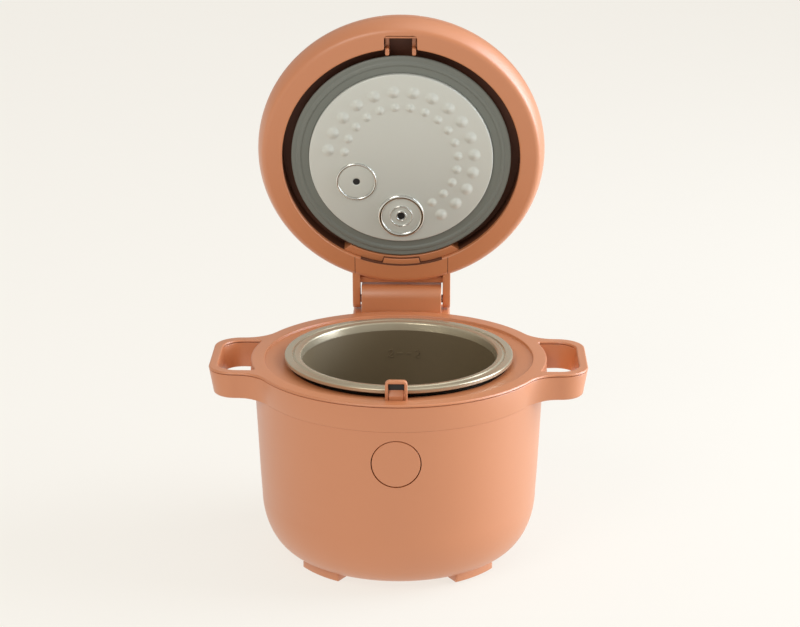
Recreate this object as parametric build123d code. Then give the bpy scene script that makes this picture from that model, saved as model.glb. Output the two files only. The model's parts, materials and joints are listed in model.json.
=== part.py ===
from build123d import *
from math import atan2, cos, degrees, hypot, radians, sin, sqrt
import os

# Rice cooker, millimetres. Origin: the body's axis on the surface that the feet stand on.
# +Z up, the front with the start button faces -Y, +X is the cooker's right side seen from the front.
# The lid is drawn closed, over the pot, and then turned open about its hinge pin.

# ---------------------------------------------------------------- driving dimensions
RIM_Z = 144.5            # top of the rim above the table
RIM_R = 105.0            # outer radius of the rim
FOOT_H = 5.0             # the feet lift the casing by this much
WALL = 2.2               # moulded wall thickness
SKIN_GAP = 0.15          # clearance between two moulded covers of one body

COLLAR_H = 19.8          # the collar reaches this far below the rim
RING_T = 1.5             # thickness of the top ring at its edge
HANDLE_X = 132.4         # half width over the two handles
HANDLE_Y = 40.0          # half length of a handle loop
HANDLE_BAR = 6.3         # thickness of the grip bar

BUTTON_R = 16.8
BUTTON_DROP = 43.5       # button centre below the rim

POT_LIP_R = 80.6
POT_LIP_H = 2.75         # the pot's lip stands this much over the rim
POT_DEPTH = 94.5         # outside of the pot's floor below the rim
POT_T = 1.8

LINER_R = 73.4
SENSOR_R = 16.5

LID_GAP = 0.7            # closed lid's underside over the rim
LID_R = 105.0
LID_BELLY_H = 15.6       # height on the lid of its widest circle
LID_TOP_H = 47.5
LID_MOUTH_R = 86.7       # opening in the lid's underside
LID_TRAY_H = 15.0        # depth of the recess in the underside
PIVOT_Y = 118.0          # hinge pin behind the body's axis
PIVOT_H = 5.3            # hinge pin above the closed lid's underside
OPEN_ANGLE = 78.0
PIN_R = 3.0

PLATE_R = 67.1           # stainless inner lid plate
GASKET_R = 80.1
STEAM_Y = 45.6           # steam port and steam cap behind the lid's centre
BALL_R = 3.2

LID_Z = RIM_Z + LID_GAP
PIVOT_Z = LID_Z + PIVOT_H
CASE_Z = FOOT_H
FULL = 400.0             # longer than anything here, for cutting


# ---------------------------------------------------------------- helpers
def down(depth):
    """Height of a level that lies depth below the rim."""
    return RIM_Z - depth


def cyl(r, z0, z1, x=0.0, y=0.0):
    """Upright cylinder between two heights."""
    return Pos(x, y, (z0 + z1) / 2) * Cylinder(r, z1 - z0)


def cyl_x(r, x0, x1, y, z):
    """Cylinder along X between x0 and x1."""
    return Pos((x0 + x1) / 2, y, z) * Rot(0, 90, 0) * Cylinder(r, x1 - x0)


def cyl_y(r, y0, y1, x, z):
    """Cylinder along Y between y0 and y1."""
    return Pos(x, (y0 + y1) / 2, z) * Rot(90, 0, 0) * Cylinder(r, y1 - y0)


def block(x0, x1, y0, y1, z0, z1):
    """Box between two corners."""
    return Pos((x0 + x1) / 2, (y0 + y1) / 2, (z0 + z1) / 2) * Box(x1 - x0, y1 - y0, z1 - z0)


def spin(*points):
    """Solid of revolution about Z. Each point is (radius, height) or (radius, height, corner radius)."""
    corners = [(p[0], 0, p[1]) for p in points]
    fillets = [p[2] if len(p) > 2 else 0 for p in points]
    line = FilletPolyline(*corners, radius=fillets, close=True)
    return revolve(make_face(line), Axis.Z, 360)


def spin_edges(edges):
    """Solid of revolution about Z of a closed outline of edges in the XZ plane."""
    return revolve(make_face(Wire(edges)), Axis.Z, 360)


def rz(r, z):
    """Point of an outline in the XZ plane."""
    return Vector(r, 0, z)


def arc_about(centre_r, centre_z, radius, a0, a1):
    """Arc in the XZ plane about a centre, angles in degrees from +X towards +Z."""
    pts = [rz(centre_r + radius * cos(radians(a)), centre_z + radius * sin(radians(a)))
           for a in (a0, (a0 + a1) / 2, a1)]
    return Edge.make_three_point_arc(*pts)


def joined(shapes):
    """Union of a list of shapes."""
    total = shapes[0]
    for shape in shapes[1:]:
        total = total + shape
    return total


def around(count, start, radius, make):
    """Copies of make(x, y) evenly round the axis, the first at start degrees."""
    angles = [radians(start + 360 * i / count) for i in range(count)]
    return [make(radius * cos(a), radius * sin(a)) for a in angles]


def screw(x, y, z, length):
    """Pan-head screw with a cross recess: the head hangs under z, and the shank runs up from it."""
    low = z - SCREW_HEAD_T
    head = cyl(SCREW_HEAD_R, low, z, x, y)
    shank = cyl(SCREW_R, z, z + length, x, y)
    recess = block(x - 1.6, x + 1.6, y - 0.35, y + 0.35, low - 0.6, low + 0.6)
    cross = block(x - 0.35, x + 0.35, y - 1.6, y + 1.6, low - 0.6, low + 0.6)
    return head + shank - recess - cross


def coil(radius, wire_r, turns, pitch, place):
    """Round-wire spring about Z from height 0, moved to its place."""
    path = Edge.make_helix(pitch, pitch * turns, radius)
    section = Plane(origin=path @ 0, z_dir=path % 0) * Circle(wire_r)
    return place * sweep(section, path=path, is_frenet=True)


SCREW_R = 1.3
SCREW_HEAD_R = 2.7
SCREW_HEAD_T = 1.7
PILOT_R = 1.35


# ---------------------------------------------------------------- casing surfaces
WALL_TOP = (101.9, down(20.2))
WALL_MID = (101.0, down(36.0))
WALL_LOW = (99.0, down(80.5))
ROUND_TOP = (97.9, down(98.6))      # the bottom rounding starts here
FLOOR_R = 72.8                      # and ends on the flat underside here


def case_solid(inset):
    """The casing's outside, moved inwards by inset, as one filled solid."""
    top, mid, low, knee = [(r - inset, z) for r, z in (WALL_TOP, WALL_MID, WALL_LOW, ROUND_TOP)]
    floor = CASE_Z + inset
    a = knee[0] - FLOOR_R
    b = knee[1] - floor
    centre = Plane(origin=rz(FLOOR_R, knee[1]), x_dir=(1, 0, 0), z_dir=(0, -1, 0))
    bend = Edge.make_ellipse(a, b, centre, 270, 360)
    edges = [
        Edge.make_line(rz(0, floor), rz(FLOOR_R, floor)),
        bend,
        Edge.make_line(rz(*knee), rz(*low)),
        Edge.make_line(rz(*low), rz(*mid)),
        Edge.make_line(rz(*mid), rz(*top)),
        Edge.make_line(rz(*top), rz(0, top[1])),
        Edge.make_line(rz(0, top[1]), rz(0, floor)),
    ]
    return spin_edges(edges)


COLLAR_TOP_R = 104.7
COLLAR_LOW_R = 102.0


def handle_outline(shrink, z):
    """Outline of one handle loop on the +X side, all round, as a face at height z."""
    blend = 25.0
    corner = 19.0 - shrink
    half_x = HANDLE_X - shrink
    half_y = HANDLE_Y - shrink
    rim = RIM_R - shrink
    cx = sqrt((rim + blend) ** 2 - (half_y + blend) ** 2)
    touch = rim / (rim + blend)
    a = (cx * touch, (half_y + blend) * touch)
    to_line = (cx, half_y)
    d = sqrt(0.5)
    ux, uy = a[0] - cx, a[1] - (half_y + blend)
    vx, vy = 0, -blend
    norm = hypot(ux + vx, uy + vy)
    mid_blend = (cx + blend * (ux + vx) / norm, half_y + blend + blend * (uy + vy) / norm)
    corner_in = (half_x - corner, half_y)
    corner_mid = (half_x - corner + corner * d, half_y - corner + corner * d)
    corner_out = (half_x, half_y - corner)

    def p(q, side):
        return Vector(q[0], side * q[1], z)

    edges = [Edge.make_line(Vector(80, -a[1], z), Vector(80, a[1], z))]
    for side in (1, -1):
        edges += [
            Edge.make_line(Vector(80, side * a[1], z), p(a, side)),
            Edge.make_three_point_arc(p(a, side), p(mid_blend, side), p(to_line, side)),
            Edge.make_line(p(to_line, side), p(corner_in, side)),
            Edge.make_three_point_arc(p(corner_in, side), p(corner_mid, side), p(corner_out, side)),
        ]
    edges.append(Edge.make_line(p(corner_out, 1), p(corner_out, -1)))
    return make_face(Wire(edges))


def handle_solid(z0, z1, shrink0, shrink1):
    """One handle lobe, drafted between two heights, for both sides."""
    lobe = loft([handle_outline(shrink0, z0), handle_outline(shrink1, z1)], ruled=True)
    return lobe + lobe.mirror(Plane.YZ)


def finger_holes(z0, z1, inner_r, grow=0.0):
    """The two finger openings between the casing and the grip bars."""
    outer_x = HANDLE_X - HANDLE_BAR + grow
    half_y = HANDLE_Y - 7.0 + grow
    outline = make_face(FilletPolyline((60, -half_y), (outer_x, -half_y), (outer_x, half_y), (60, half_y),
                                       radius=[0, 14, 14, 0], close=True))
    hole = Pos(0, 0, z0) * extrude(outline, amount=z1 - z0) - cyl(inner_r, z0 - 1, z1 + 1)
    return hole + hole.mirror(Plane.YZ)


# ---------------------------------------------------------------- top ring
def ring_edge():
    """The round part of the top ring: flat rim, soft shoulder and the slope down to the inner ledge."""
    return spin((78.2, down(6.4)), (76.8, down(5.6), 0.8), (77.4, down(3.9), 0.8), (94.0, down(0.0), 12),
                (RIM_R, down(0.0), 1.1), (RIM_R, down(RING_T)), (102.6, down(RING_T)),
                (102.6, down(2.0)), (95.0, down(2.4)))


def make_top_ring():
    lobes = handle_solid(down(RING_T), down(0.0), 0.0, 0.6) - cyl(RIM_R - 3, down(9), down(-3))
    ring = ring_edge() + (lobes - finger_holes(down(9), down(-3), RIM_R - 0.5))
    bosses = around(6, 30, 90.0, lambda x, y: cyl(3.4, down(14.0), down(2.6), x, y))
    pilots = around(6, 30, 90.0, lambda x, y: cyl(PILOT_R, down(14.1), down(5.0), x, y))
    return ring + joined(bosses) - joined(pilots)


# ---------------------------------------------------------------- collar with the two handles
def make_collar():
    band = spin((COLLAR_TOP_R, down(2.0)), (COLLAR_LOW_R, down(COLLAR_H)), (99.0, down(COLLAR_H)),
                (99.0, down(26.0)), (97.2, down(26.0)), (97.2, down(16.0)), (86.0, down(16.0)),
                (86.0, down(14.2)), (99.6, down(14.2)), (101.6, down(4.8)), (96.0, down(4.8)),
                (96.0, down(2.8)), (102.9, down(2.5)), (102.9, down(2.0)))
    lobes = handle_solid(down(COLLAR_H), down(2.0), 2.6, 0.3)
    lobes = lobes - finger_holes(down(30), down(0), RIM_R - 0.5)
    inside = spin((0, down(1.0)), (COLLAR_TOP_R - 1.2, down(1.0)), (COLLAR_LOW_R - 1.2, down(21)), (0, down(21)))
    lobes = lobes - inside
    holes = around(6, 30, 90.0, lambda x, y: cyl(SCREW_R + 0.3, down(17), down(13), x, y))
    return band + lobes - joined(holes)


# ---------------------------------------------------------------- outer shell with its feet
FOOT_R_OUT = 79.5
FOOT_R_IN = 67.0
FOOT_A0 = 31.0           # a foot spans these angles from the front or the back
FOOT_A1 = 57.0


def foot_sector(r_in, r_out, a0, a1, z0, z1):
    """Arc-shaped block on the +X, +Y side, angles from the Y axis."""
    ring = cyl(r_out, z0, z1) - cyl(r_in, z0 - 1, z1 + 1)
    reach = 200.0
    wedge = make_face(Polyline((0, 0), (reach * sin(radians(a0)), reach * cos(radians(a0))),
                               (reach * sin(radians(a1)), reach * cos(radians(a1))), close=True))
    return ring & (Pos(0, 0, z0 - 1) * extrude(wedge, amount=z1 - z0 + 2))


def four_corners(shape):
    """The shape and its three mirror images, in the order right back, left back, right front, left front."""
    left = shape.mirror(Plane.YZ)
    return [shape, left, shape.mirror(Plane.XZ), left.mirror(Plane.XZ)]


SHELL_STEP_Z = CASE_Z + WALL
SHELL_MOUTH_R = 62.0
BASE_SCREW_R = 58.0
PAD_RECESS = 0.6
PAD_T = 1.6


def make_outer_shell():
    outside = case_solid(0.0)
    inside = case_solid(WALL)
    shell = outside - inside - cyl(SHELL_MOUTH_R, 0, SHELL_STEP_Z)
    shell = shell + (cyl(66.0, SHELL_STEP_Z, SHELL_STEP_Z + WALL) - cyl(53.5, 0, 30))
    foot = foot_sector(FOOT_R_IN, FOOT_R_OUT, FOOT_A0, FOOT_A1, PAD_T - PAD_RECESS, CASE_Z + 4)
    foot = foot & (cyl(200, 0, CASE_Z + 0.2) + outside)
    recess = foot_sector(FOOT_R_IN + 2, FOOT_R_OUT - 2, FOOT_A0 + 2, FOOT_A1 - 2, 0, PAD_T)
    foot = foot - recess - inside
    shell = shell + joined(four_corners(foot))
    bosses = around(4, 45, BASE_SCREW_R, lambda x, y: cyl(3.6, SHELL_STEP_Z, BOARD_Z - 0.8, x, y))
    pilots = around(4, 45, BASE_SCREW_R, lambda x, y: cyl(PILOT_R, 0, BOARD_Z - 2, x, y))
    shell = shell + joined(bosses) - joined(pilots)
    shell = shell - cyl_y(BUTTON_R + 0.35, -130, -60, 0, down(BUTTON_DROP))
    return shell - block(-INLET_W / 2 - 0.15, INLET_W / 2 + 0.15, 60, 130, INLET_Z - INLET_H / 2 - 0.15,
                         INLET_Z + INLET_H / 2 + 0.15)


INLET_W = 30.0
INLET_H = 24.0
INLET_Z = 40.0


def make_base_cover():
    """Bottom plate with vent slots and sunk screw holes."""
    disc = cyl(SHELL_MOUTH_R - 0.2, CASE_Z, SHELL_STEP_Z)
    stiffener = cyl(48.0, SHELL_STEP_Z, 11.0) - cyl(46.0, 0, 30)
    slot = block(20.0, 40.0, -1.5, 1.5, 0, 12) + cyl(1.5, 0, 12, 20) + cyl(1.5, 0, 12, 40)
    slots = [Rot(0, 0, 30 * i) * slot for i in range(12)]
    sinks = around(4, 45, BASE_SCREW_R, lambda x, y: cyl(3.1, 0, SHELL_STEP_Z - 0.9, x, y))
    sinks += around(4, 45, BASE_SCREW_R, lambda x, y: cyl(1.6, 0, 12, x, y))
    return disc + stiffener - joined(slots) - joined(sinks)


# ---------------------------------------------------------------- catch post on the rim
POST_Y = -94.5           # front face of the arch
POST_HALF = 7.5
POST_TOP = 13.4
ARCH_T = 4.0
SLOT_LOW = 6.2
SLOT_HIGH = 11.2


def make_catch_post():
    """Inverted-U arch with a ramp block inside it, standing on the sloping rim."""
    sunk = 2.3
    outline = make_face(FilletPolyline((-POST_HALF, -sunk), (-POST_HALF, POST_TOP), (POST_HALF, POST_TOP),
                                       (POST_HALF, -sunk), radius=[0, 2.6, 2.6, 0], close=True))
    arch = Pos(0, POST_Y + ARCH_T, RIM_Z) * Rot(90, 0, 0) * extrude(outline, amount=ARCH_T)
    arch = arch - block(-5.4, 5.4, POST_Y - 1, POST_Y + ARCH_T + 1, down(sunk + 1), RIM_Z + SLOT_HIGH)
    ramp = extrude_x([(POST_Y + 0.6, down(sunk)), (POST_Y + 0.6, RIM_Z + 2.6),
                      (POST_Y + 3.6, RIM_Z + SLOT_LOW), (-85.0, RIM_Z + SLOT_LOW), (-85.0, down(sunk))], 5.0, 0)
    foot = block(-POST_HALF, POST_HALF, POST_Y + 2.4, -85.0, down(sunk), RIM_Z + 1.4)
    return arch + ramp + foot - ring_edge()


# ---------------------------------------------------------------- inner liner, heater and sensor
HEATER_TOP = down(POT_DEPTH + 0.2)
LINER_FLOOR = down(108.0)


def make_inner_liner():
    body = spin((LINER_R, down(6.4)), (82.0, down(6.4)), (82.0, down(7.2)), (LINER_R + 0.8, down(7.2)),
                (LINER_R + 0.8, LINER_FLOOR - 0.8, 6), (24.0, LINER_FLOOR - 0.8), (24.0, LINER_FLOOR),
                (LINER_R, LINER_FLOOR, 5.2))
    holes = around(3, 90, 46.0, lambda x, y: cyl(1.6, LINER_FLOOR - 5, LINER_FLOOR + 5, x, y))
    holes += [cyl(3.2, LINER_FLOOR - 5, LINER_FLOOR + 5, x, 32.6) for x in (-10.4, 10.4)]
    return body - joined(holes)


def make_heating_plate():
    plate = spin((17.6, HEATER_TOP - 9), (17.6, HEATER_TOP), (55.0, HEATER_TOP, 12),
                 (62.0, HEATER_TOP + 2.2), (63.0, HEATER_TOP - 2.0), (56.0, HEATER_TOP - 9))
    legs = around(3, 90, 46.0, lambda x, y: cyl(4.0, LINER_FLOOR, HEATER_TOP - 8.5, x, y))
    pilots = around(3, 90, 46.0, lambda x, y: cyl(PILOT_R, LINER_FLOOR - 1, HEATER_TOP - 4, x, y))
    groove = Pos(0, 0, HEATER_TOP - 8.6) * Torus(34.0, 3.6)
    return plate - groove + joined(legs) - joined(pilots)


def make_heating_element():
    """Tubular element bent round the plate's groove, open at the back, with its two cold ends."""
    ring = Pos(0, 0, HEATER_TOP - 8.6) * Torus(34.0, 3.4)
    gap = block(-9, 9, 20, 60, 0, 100)
    ends = [cyl(2.2, LINER_FLOOR - 9, HEATER_TOP - 8.6, x, 32.6) for x in (-10.4, 10.4)]
    return ring - gap + joined(ends)


def make_sensor_plunger():
    top = down(POT_DEPTH + 0.3)
    return spin((0, top), (SENSOR_R, top, 1.4), (SENSOR_R, top - 14), (SENSOR_R - 1.2, top - 14),
                (SENSOR_R - 1.2, top - 1.5), (0, top - 1.5))


BRACKET_Z = down(118.0)


def make_sensor_bracket():
    """Cup under the liner that guides the sensor's spring."""
    return spin((0, BRACKET_Z), (26.0, BRACKET_Z, 1.2), (26.0, LINER_FLOOR - 1.8), (31.0, LINER_FLOOR - 1.8),
                (31.0, LINER_FLOOR - 0.8), (25.0, LINER_FLOOR - 0.8), (25.0, BRACKET_Z + 1.0),
                (6.0, BRACKET_Z + 1.0), (6.0, down(105.0)), (0, down(105.0)))


def make_thermal_fuse():
    y = -48.0
    z = LINER_FLOOR - 0.8 - 3.2
    clip = block(-4, 4, y - 5, y + 5, z + 2.2, z + 3.2)
    return cyl_x(2.6, -9, 9, y, z) + clip + cyl_x(0.6, -17, 17, y, z)


# ---------------------------------------------------------------- start button and its switch
def make_start_button():
    """Round cap that follows the casing's surface, with a skirt and a stem to the switch."""
    z = down(BUTTON_DROP)
    cap = cyl_y(BUTTON_R, -110, -80, 0, z) & (case_solid(0.0) - case_solid(WALL + 0.3))
    tube = cyl_y(15.6, -99.4, -91.0, 0, z) - cyl_y(14.2, -120, -80, 0, z)
    stem = cyl_y(3.0, -99.4, -90.6, 0, z)
    return cap + (tube & case_solid(1.0)) + stem


def make_button_guide():
    """Sleeve behind the casing that guides the cap and carries the switch board."""
    z = down(BUTTON_DROP)
    sleeve = cyl_y(19.6, -95.6, -84.0, 0, z) - cyl_y(17.2, -120, -60, 0, z)
    stop = cyl_y(18.0, -89.4, -88.0, 0, z) - cyl_y(9.0, -120, -60, 0, z)
    return sleeve + stop


def make_button_board():
    z = down(BUTTON_DROP)
    return block(-21, 21, -84.0, -82.4, z - 16, z + 16)


def make_tact_switch():
    z = down(BUTTON_DROP)
    return block(-3, 3, -87.4, -84.0, z - 3, z + 3) + cyl_y(1.75, -89.2, -87.3, 0, z)


# ---------------------------------------------------------------- power parts at the back
BOARD_Z = 17.5
BOARD_T = 1.6
RELAY_TOP = 15.0         # over the board's underside
CAPACITOR_TOP = 14.0


def make_power_board():
    board = block(-42, 42, 32, 60, BOARD_Z, BOARD_Z + BOARD_T)
    posts = [cyl(2.4, SHELL_STEP_Z + WALL, BOARD_Z, x, y) for x, y in ((-33, 51), (33, 51))]
    return board + joined(posts)


def make_inlet_socket():
    """Appliance inlet in the back wall, a rounded box with a recess for the plug."""
    x, h = INLET_W / 2, INLET_H / 2
    body = block(-x, x, 78.5, 99.4, INLET_Z - h, INLET_Z + h)
    body = fillet(body.edges().filter_by(Axis.Y), 4.0)
    lip = block(-x - 2, x + 2, 91.2, 92.8, INLET_Z - h - 2, INLET_Z + h + 2)
    recess = block(-x + 3, x - 3, 81, 110, INLET_Z - h + 3.5, INLET_Z + h - 3.5)
    recess = fillet(recess.edges().filter_by(Axis.Y), 3.0)
    lip = lip & case_solid(WALL + 0.1)
    return body + lip - recess - joined(inlet_pin_solids(0.02))


def inlet_pin_solids(grow=0.0):
    places = ((-7, 0), (7, 0), (0, 3.4))
    half_w = 2 + grow
    half_h = 1 + grow
    return [block(x - half_w, x + half_w, 76 - grow, 94 + grow, INLET_Z + dz - half_h, INLET_Z + dz + half_h)
            for x, dz in places]


# ---------------------------------------------------------------- hinge tower on the body
TOWER_HALF = 30.0
BASE_HALF = 36.5
TOWER_R = 12.6
TOWER_FRONT = 105.6
TOWER_BACK = PIVOT_Y + TOWER_R


def extrude_x(points, half, fillets):
    """Closed outline of (y, z) points, extruded to plus and minus half along X."""
    outline = FilletPolyline(*[(0, y, z) for y, z in points], radius=fillets, close=True)
    return extrude(make_face(outline), amount=half, both=True, dir=(1, 0, 0))


def body_clearance():
    """The collar and shell, a little larger, to shape the inside of the hinge housing."""
    gap = SKIN_GAP
    return spin((0, down(-1)), (RIM_R + gap, down(-1)), (RIM_R + gap, down(RING_T) - gap),
                (COLLAR_TOP_R + gap, down(2.0)), (COLLAR_LOW_R + gap, down(COLLAR_H)),
                (WALL_TOP[0] + gap, WALL_TOP[1]), (WALL_MID[0] + gap, WALL_MID[1]),
                (WALL_LOW[0] + gap, WALL_LOW[1]), (0, WALL_LOW[1]))


def make_hinge_housing():
    """Saddle behind the collar with a hollow tower whose top is round about the pin."""
    base = extrude_x([(85, down(52)), (85, down(1.9)), (TOWER_BACK, down(1.9)), (TOWER_BACK, down(18)),
                      (103.5, down(52))], BASE_HALF, [0, 0, 2.0, 16, 0])
    tower = extrude_x([(TOWER_FRONT, down(12)), (TOWER_FRONT, PIVOT_Z), (TOWER_BACK, PIVOT_Z),
                       (TOWER_BACK, down(12))], TOWER_HALF, 0)
    tower = tower + cyl_x(TOWER_R, -TOWER_HALF, TOWER_HALF, PIVOT_Y, PIVOT_Z)
    hollow_half = TOWER_HALF - 3.0
    hollow = cyl_x(TOWER_R - 2.4, -hollow_half, hollow_half, PIVOT_Y, PIVOT_Z)
    hollow = hollow + block(-hollow_half, hollow_half, PIVOT_Y - 10.2, PIVOT_Y + 10.2, down(16), PIVOT_Z)
    bore = cyl_x(PIN_R + 0.03, -FULL, FULL, PIVOT_Y, PIVOT_Z)
    return base + tower - body_clearance() - hollow - bore


def make_hinge_bracket():
    """Pressed steel U inside the tower that carries the pin."""
    z0 = down(15.9)
    floor = block(-26.8, 26.8, PIVOT_Y - 8, PIVOT_Y + 8, z0, z0 + 1.2)
    cheeks = [block(x - 0.7, x + 0.7, PIVOT_Y - 6, PIVOT_Y + 6, z0, PIVOT_Z + 6) for x in (-26.1, 26.1)]
    return floor + joined(cheeks) - cyl_x(PIN_R + 0.03, -FULL, FULL, PIVOT_Y, PIVOT_Z)


def make_hinge_spring(side):
    """Torsion spring round the pin with two straight legs."""
    turns, pitch, wire = 6, 2.2, 0.9
    start = side * 6.0
    place = Pos(start, PIVOT_Y, PIVOT_Z) * Rot(0, side * 90, 0)
    return coil(5.2, wire, turns, pitch, place)


# ---------------------------------------------------------------- pot
def make_pot():
    """Drawn pot with a broad rolled lip."""
    lip = RIM_Z + POT_LIP_H
    r_in = 68.3
    r_out = r_in + POT_T
    floor = down(POT_DEPTH)
    return spin((0, floor), (r_out - 1.4, floor, 20), (r_out, down(6.0), 1.5), (78.6, down(0.6), 3),
                (79.6, lip - 3.4, 0.3), (POT_LIP_R, lip - 3.0, 0.3), (POT_LIP_R, lip, 1.1), (75.4, lip, 0.4),
                (74.5, lip - 1.0, 0.4), (73.3, lip, 0.6), (69.4, lip - 0.5, 1.6), (r_in, down(3.5), 3),
                (r_in - 1.4, floor + POT_T, 18.2), (0, floor + POT_T))


# ---------------------------------------------------------------- lid, drawn closed
LID_ROUND = 28.0         # the side of the lid frame is part of this circle
LID_CORNER = 6.0         # and meets the flat underside with this radius
LID_SHOULDER = 24.0      # the cover's shoulder
SEAM = 0.3


def lid_h(h):
    """Height of a level that lies h above the closed lid's underside."""
    return LID_Z + h


def frame_side(inset):
    """The two tangent arcs of the lid frame's side, from the flat underside to the widest circle."""
    centre_r = LID_R - LID_ROUND
    reach = LID_ROUND - LID_CORNER
    drop = LID_BELLY_H - LID_CORNER
    corner_r = centre_r + sqrt(reach ** 2 - drop ** 2)
    angle = -degrees_of(drop, corner_r - centre_r)
    low = arc_about(corner_r, lid_h(LID_CORNER), LID_CORNER - inset, -90, angle)
    high = arc_about(centre_r, lid_h(LID_BELLY_H), LID_ROUND - inset, angle, 0)
    return low, high


def degrees_of(rise, run):
    """Angle in degrees of a slope."""
    return degrees(atan2(rise, run))


def dome_solid(inset):
    """The lid cover's outside, moved inwards by inset, filled down to the seam."""
    centre_r = LID_R - LID_SHOULDER
    rise = LID_TOP_H - LID_BELLY_H
    crown = (centre_r ** 2 + rise ** 2 - LID_SHOULDER ** 2) / (2 * (rise - LID_SHOULDER))
    crown_z = LID_TOP_H - crown
    angle = degrees_of(LID_BELLY_H - crown_z, centre_r)
    shoulder = arc_about(centre_r, lid_h(LID_BELLY_H), LID_SHOULDER - inset, 0, angle)
    top = arc_about(0, lid_h(crown_z), crown - inset, angle, 90)
    r0 = (shoulder @ 0).X
    z0 = lid_h(LID_BELLY_H)
    edges = [Edge.make_line(rz(0, z0), rz(r0, z0)), shoulder, top,
             Edge.make_line(rz(0, lid_h(LID_TOP_H) - inset), rz(0, z0))]
    return spin_edges(edges)


NOTCH_HALF = 11.7
NOTCH_OUT = 98.0
LATCH_PIVOT_Y = -96.0
LATCH_PIVOT_H = 20.0
LATCH_PIN_R = 1.5


def make_lid_frame():
    """Lower half of the lid: the flat ring, the side and the recess that takes the inner lid."""
    low, high = frame_side(0.0)
    low_in, high_in = frame_side(WALL)
    wall_in = LID_MOUTH_R + WALL
    belly = lid_h(LID_BELLY_H)
    points = [rz(LID_MOUTH_R, lid_h(LID_TRAY_H)), rz(LID_MOUTH_R, lid_h(1.0))]
    edges = [
        Edge.make_line(*points),
        arc_about(LID_MOUTH_R + 1.0, lid_h(1.0), 1.0, 180, 270),
        Edge.make_line(rz(LID_MOUTH_R + 1.0, lid_h(0)), low @ 0),
        low,
        high,
        Edge.make_line(high @ 1, high_in @ 1),
        high_in,
        low_in,
        Edge.make_line(low_in @ 0, rz(wall_in, lid_h(WALL))),
        Edge.make_line(rz(wall_in, lid_h(WALL)), rz(wall_in, lid_h(LID_TRAY_H) + WALL)),
        Edge.make_line(rz(wall_in, lid_h(LID_TRAY_H) + WALL), rz(0, lid_h(LID_TRAY_H) + WALL)),
        Edge.make_line(rz(0, lid_h(LID_TRAY_H) + WALL), rz(0, lid_h(LID_TRAY_H))),
        Edge.make_line(rz(0, lid_h(LID_TRAY_H)), points[0]),
    ]
    frame = spin_edges(edges)
    notch = block(-NOTCH_HALF, NOTCH_HALF, -NOTCH_OUT, -84.0, lid_h(-1), lid_h(LID_TRAY_H - 0.1))
    notch = fillet(notch.edges().filter_by(Axis.Z), 2.5)
    lugs = []
    for side in (-1, 1):
        x0, x1 = sorted((side * 12.4, side * 14.6))
        lugs.append(block(x0, x1, -98.6, -93.0, lid_h(WALL - 0.6), lid_h(LATCH_PIVOT_H + 3.0)))
    frame = frame - notch + joined(lugs)
    frame = frame - cyl_x(LATCH_PIN_R + 0.03, -20, 20, LATCH_PIVOT_Y, lid_h(LATCH_PIVOT_H))
    frame = frame - cyl(12.2, lid_h(LID_TRAY_H - 1), lid_h(LID_TRAY_H + 4), 0, STEAM_Y)
    holes = around(4, 45, LID_SCREW_R, lambda x, y: cyl(1.6, lid_h(10), lid_h(20), x, y))
    return frame - joined(holes) - make_lid_hinge_arm() - make_inner_lid_tab()


LID_SCREW_R = 60.0
STEAM_CAP_R = 18.2
STEAM_FLOOR_H = 32.0


def make_lid_cover():
    """Domed top of the lid with the steam cap's pocket and the release button's opening."""
    skin = dome_solid(0.0) - dome_solid(2.5) - cyl(150, 0, lid_h(LID_BELLY_H + SEAM))
    pocket = cyl(STEAM_CAP_R + 2.6, lid_h(STEAM_FLOOR_H - 2.2), lid_h(60), 0, STEAM_Y) & dome_solid(0.5)
    skin = skin + pocket - cyl(STEAM_CAP_R + 0.4, lid_h(STEAM_FLOOR_H), lid_h(60), 0, STEAM_Y)
    skin = skin - cyl(12.2, lid_h(STEAM_FLOOR_H - 3), lid_h(60), 0, STEAM_Y)
    skin = skin - block(-14.4, 14.4, -120, -84, lid_h(21.4), lid_h(33.6))
    bosses = around(4, 45, LID_SCREW_R, lambda x, y: cyl(3.4, lid_h(LID_TRAY_H + WALL), lid_h(60), x, y))
    pilots = around(4, 45, LID_SCREW_R, lambda x, y: cyl(PILOT_R, lid_h(0), lid_h(32), x, y))
    skin = skin + (joined(bosses) & dome_solid(1.0)) - joined(pilots)
    return skin - make_lid_hinge_arm()


EAR_IN = 30.9
EAR_OUT = 36.7
EAR_R = 7.2


def make_lid_hinge_arm():
    """Two ears on a crossbar, set into the back of the lid frame."""
    def ear_outline(front_y):
        plate = extrude_x([(front_y, lid_h(1.0)), (front_y, lid_h(13.0)), (104.0, lid_h(13.0)),
                           (PIVOT_Y + 1.0, PIVOT_Z + EAR_R), (PIVOT_Y, PIVOT_Z - EAR_R)], EAR_OUT, 0)
        return plate + cyl_x(EAR_R, -EAR_OUT, EAR_OUT, PIVOT_Y, PIVOT_Z)
    ears = ear_outline(91.0) - block(-EAR_IN, EAR_IN, 60, 160, 0, 300)
    bar = block(-EAR_OUT, EAR_OUT, 91.0, 94.0, lid_h(3.0), lid_h(13.0))
    return ears + bar - cyl_x(PIN_R + 0.05, -FULL, FULL, PIVOT_Y, PIVOT_Z)


TAB_HALF = 14.0


def make_inner_lid_tab():
    """Small lip at the hinge side of the opening that keeps the inner lid's edge."""
    return block(-TAB_HALF, TAB_HALF, 82.4, 88.0, lid_h(0.9), lid_h(2.5)) & cyl(LID_MOUTH_R + 1.2, 0, 300)


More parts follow.
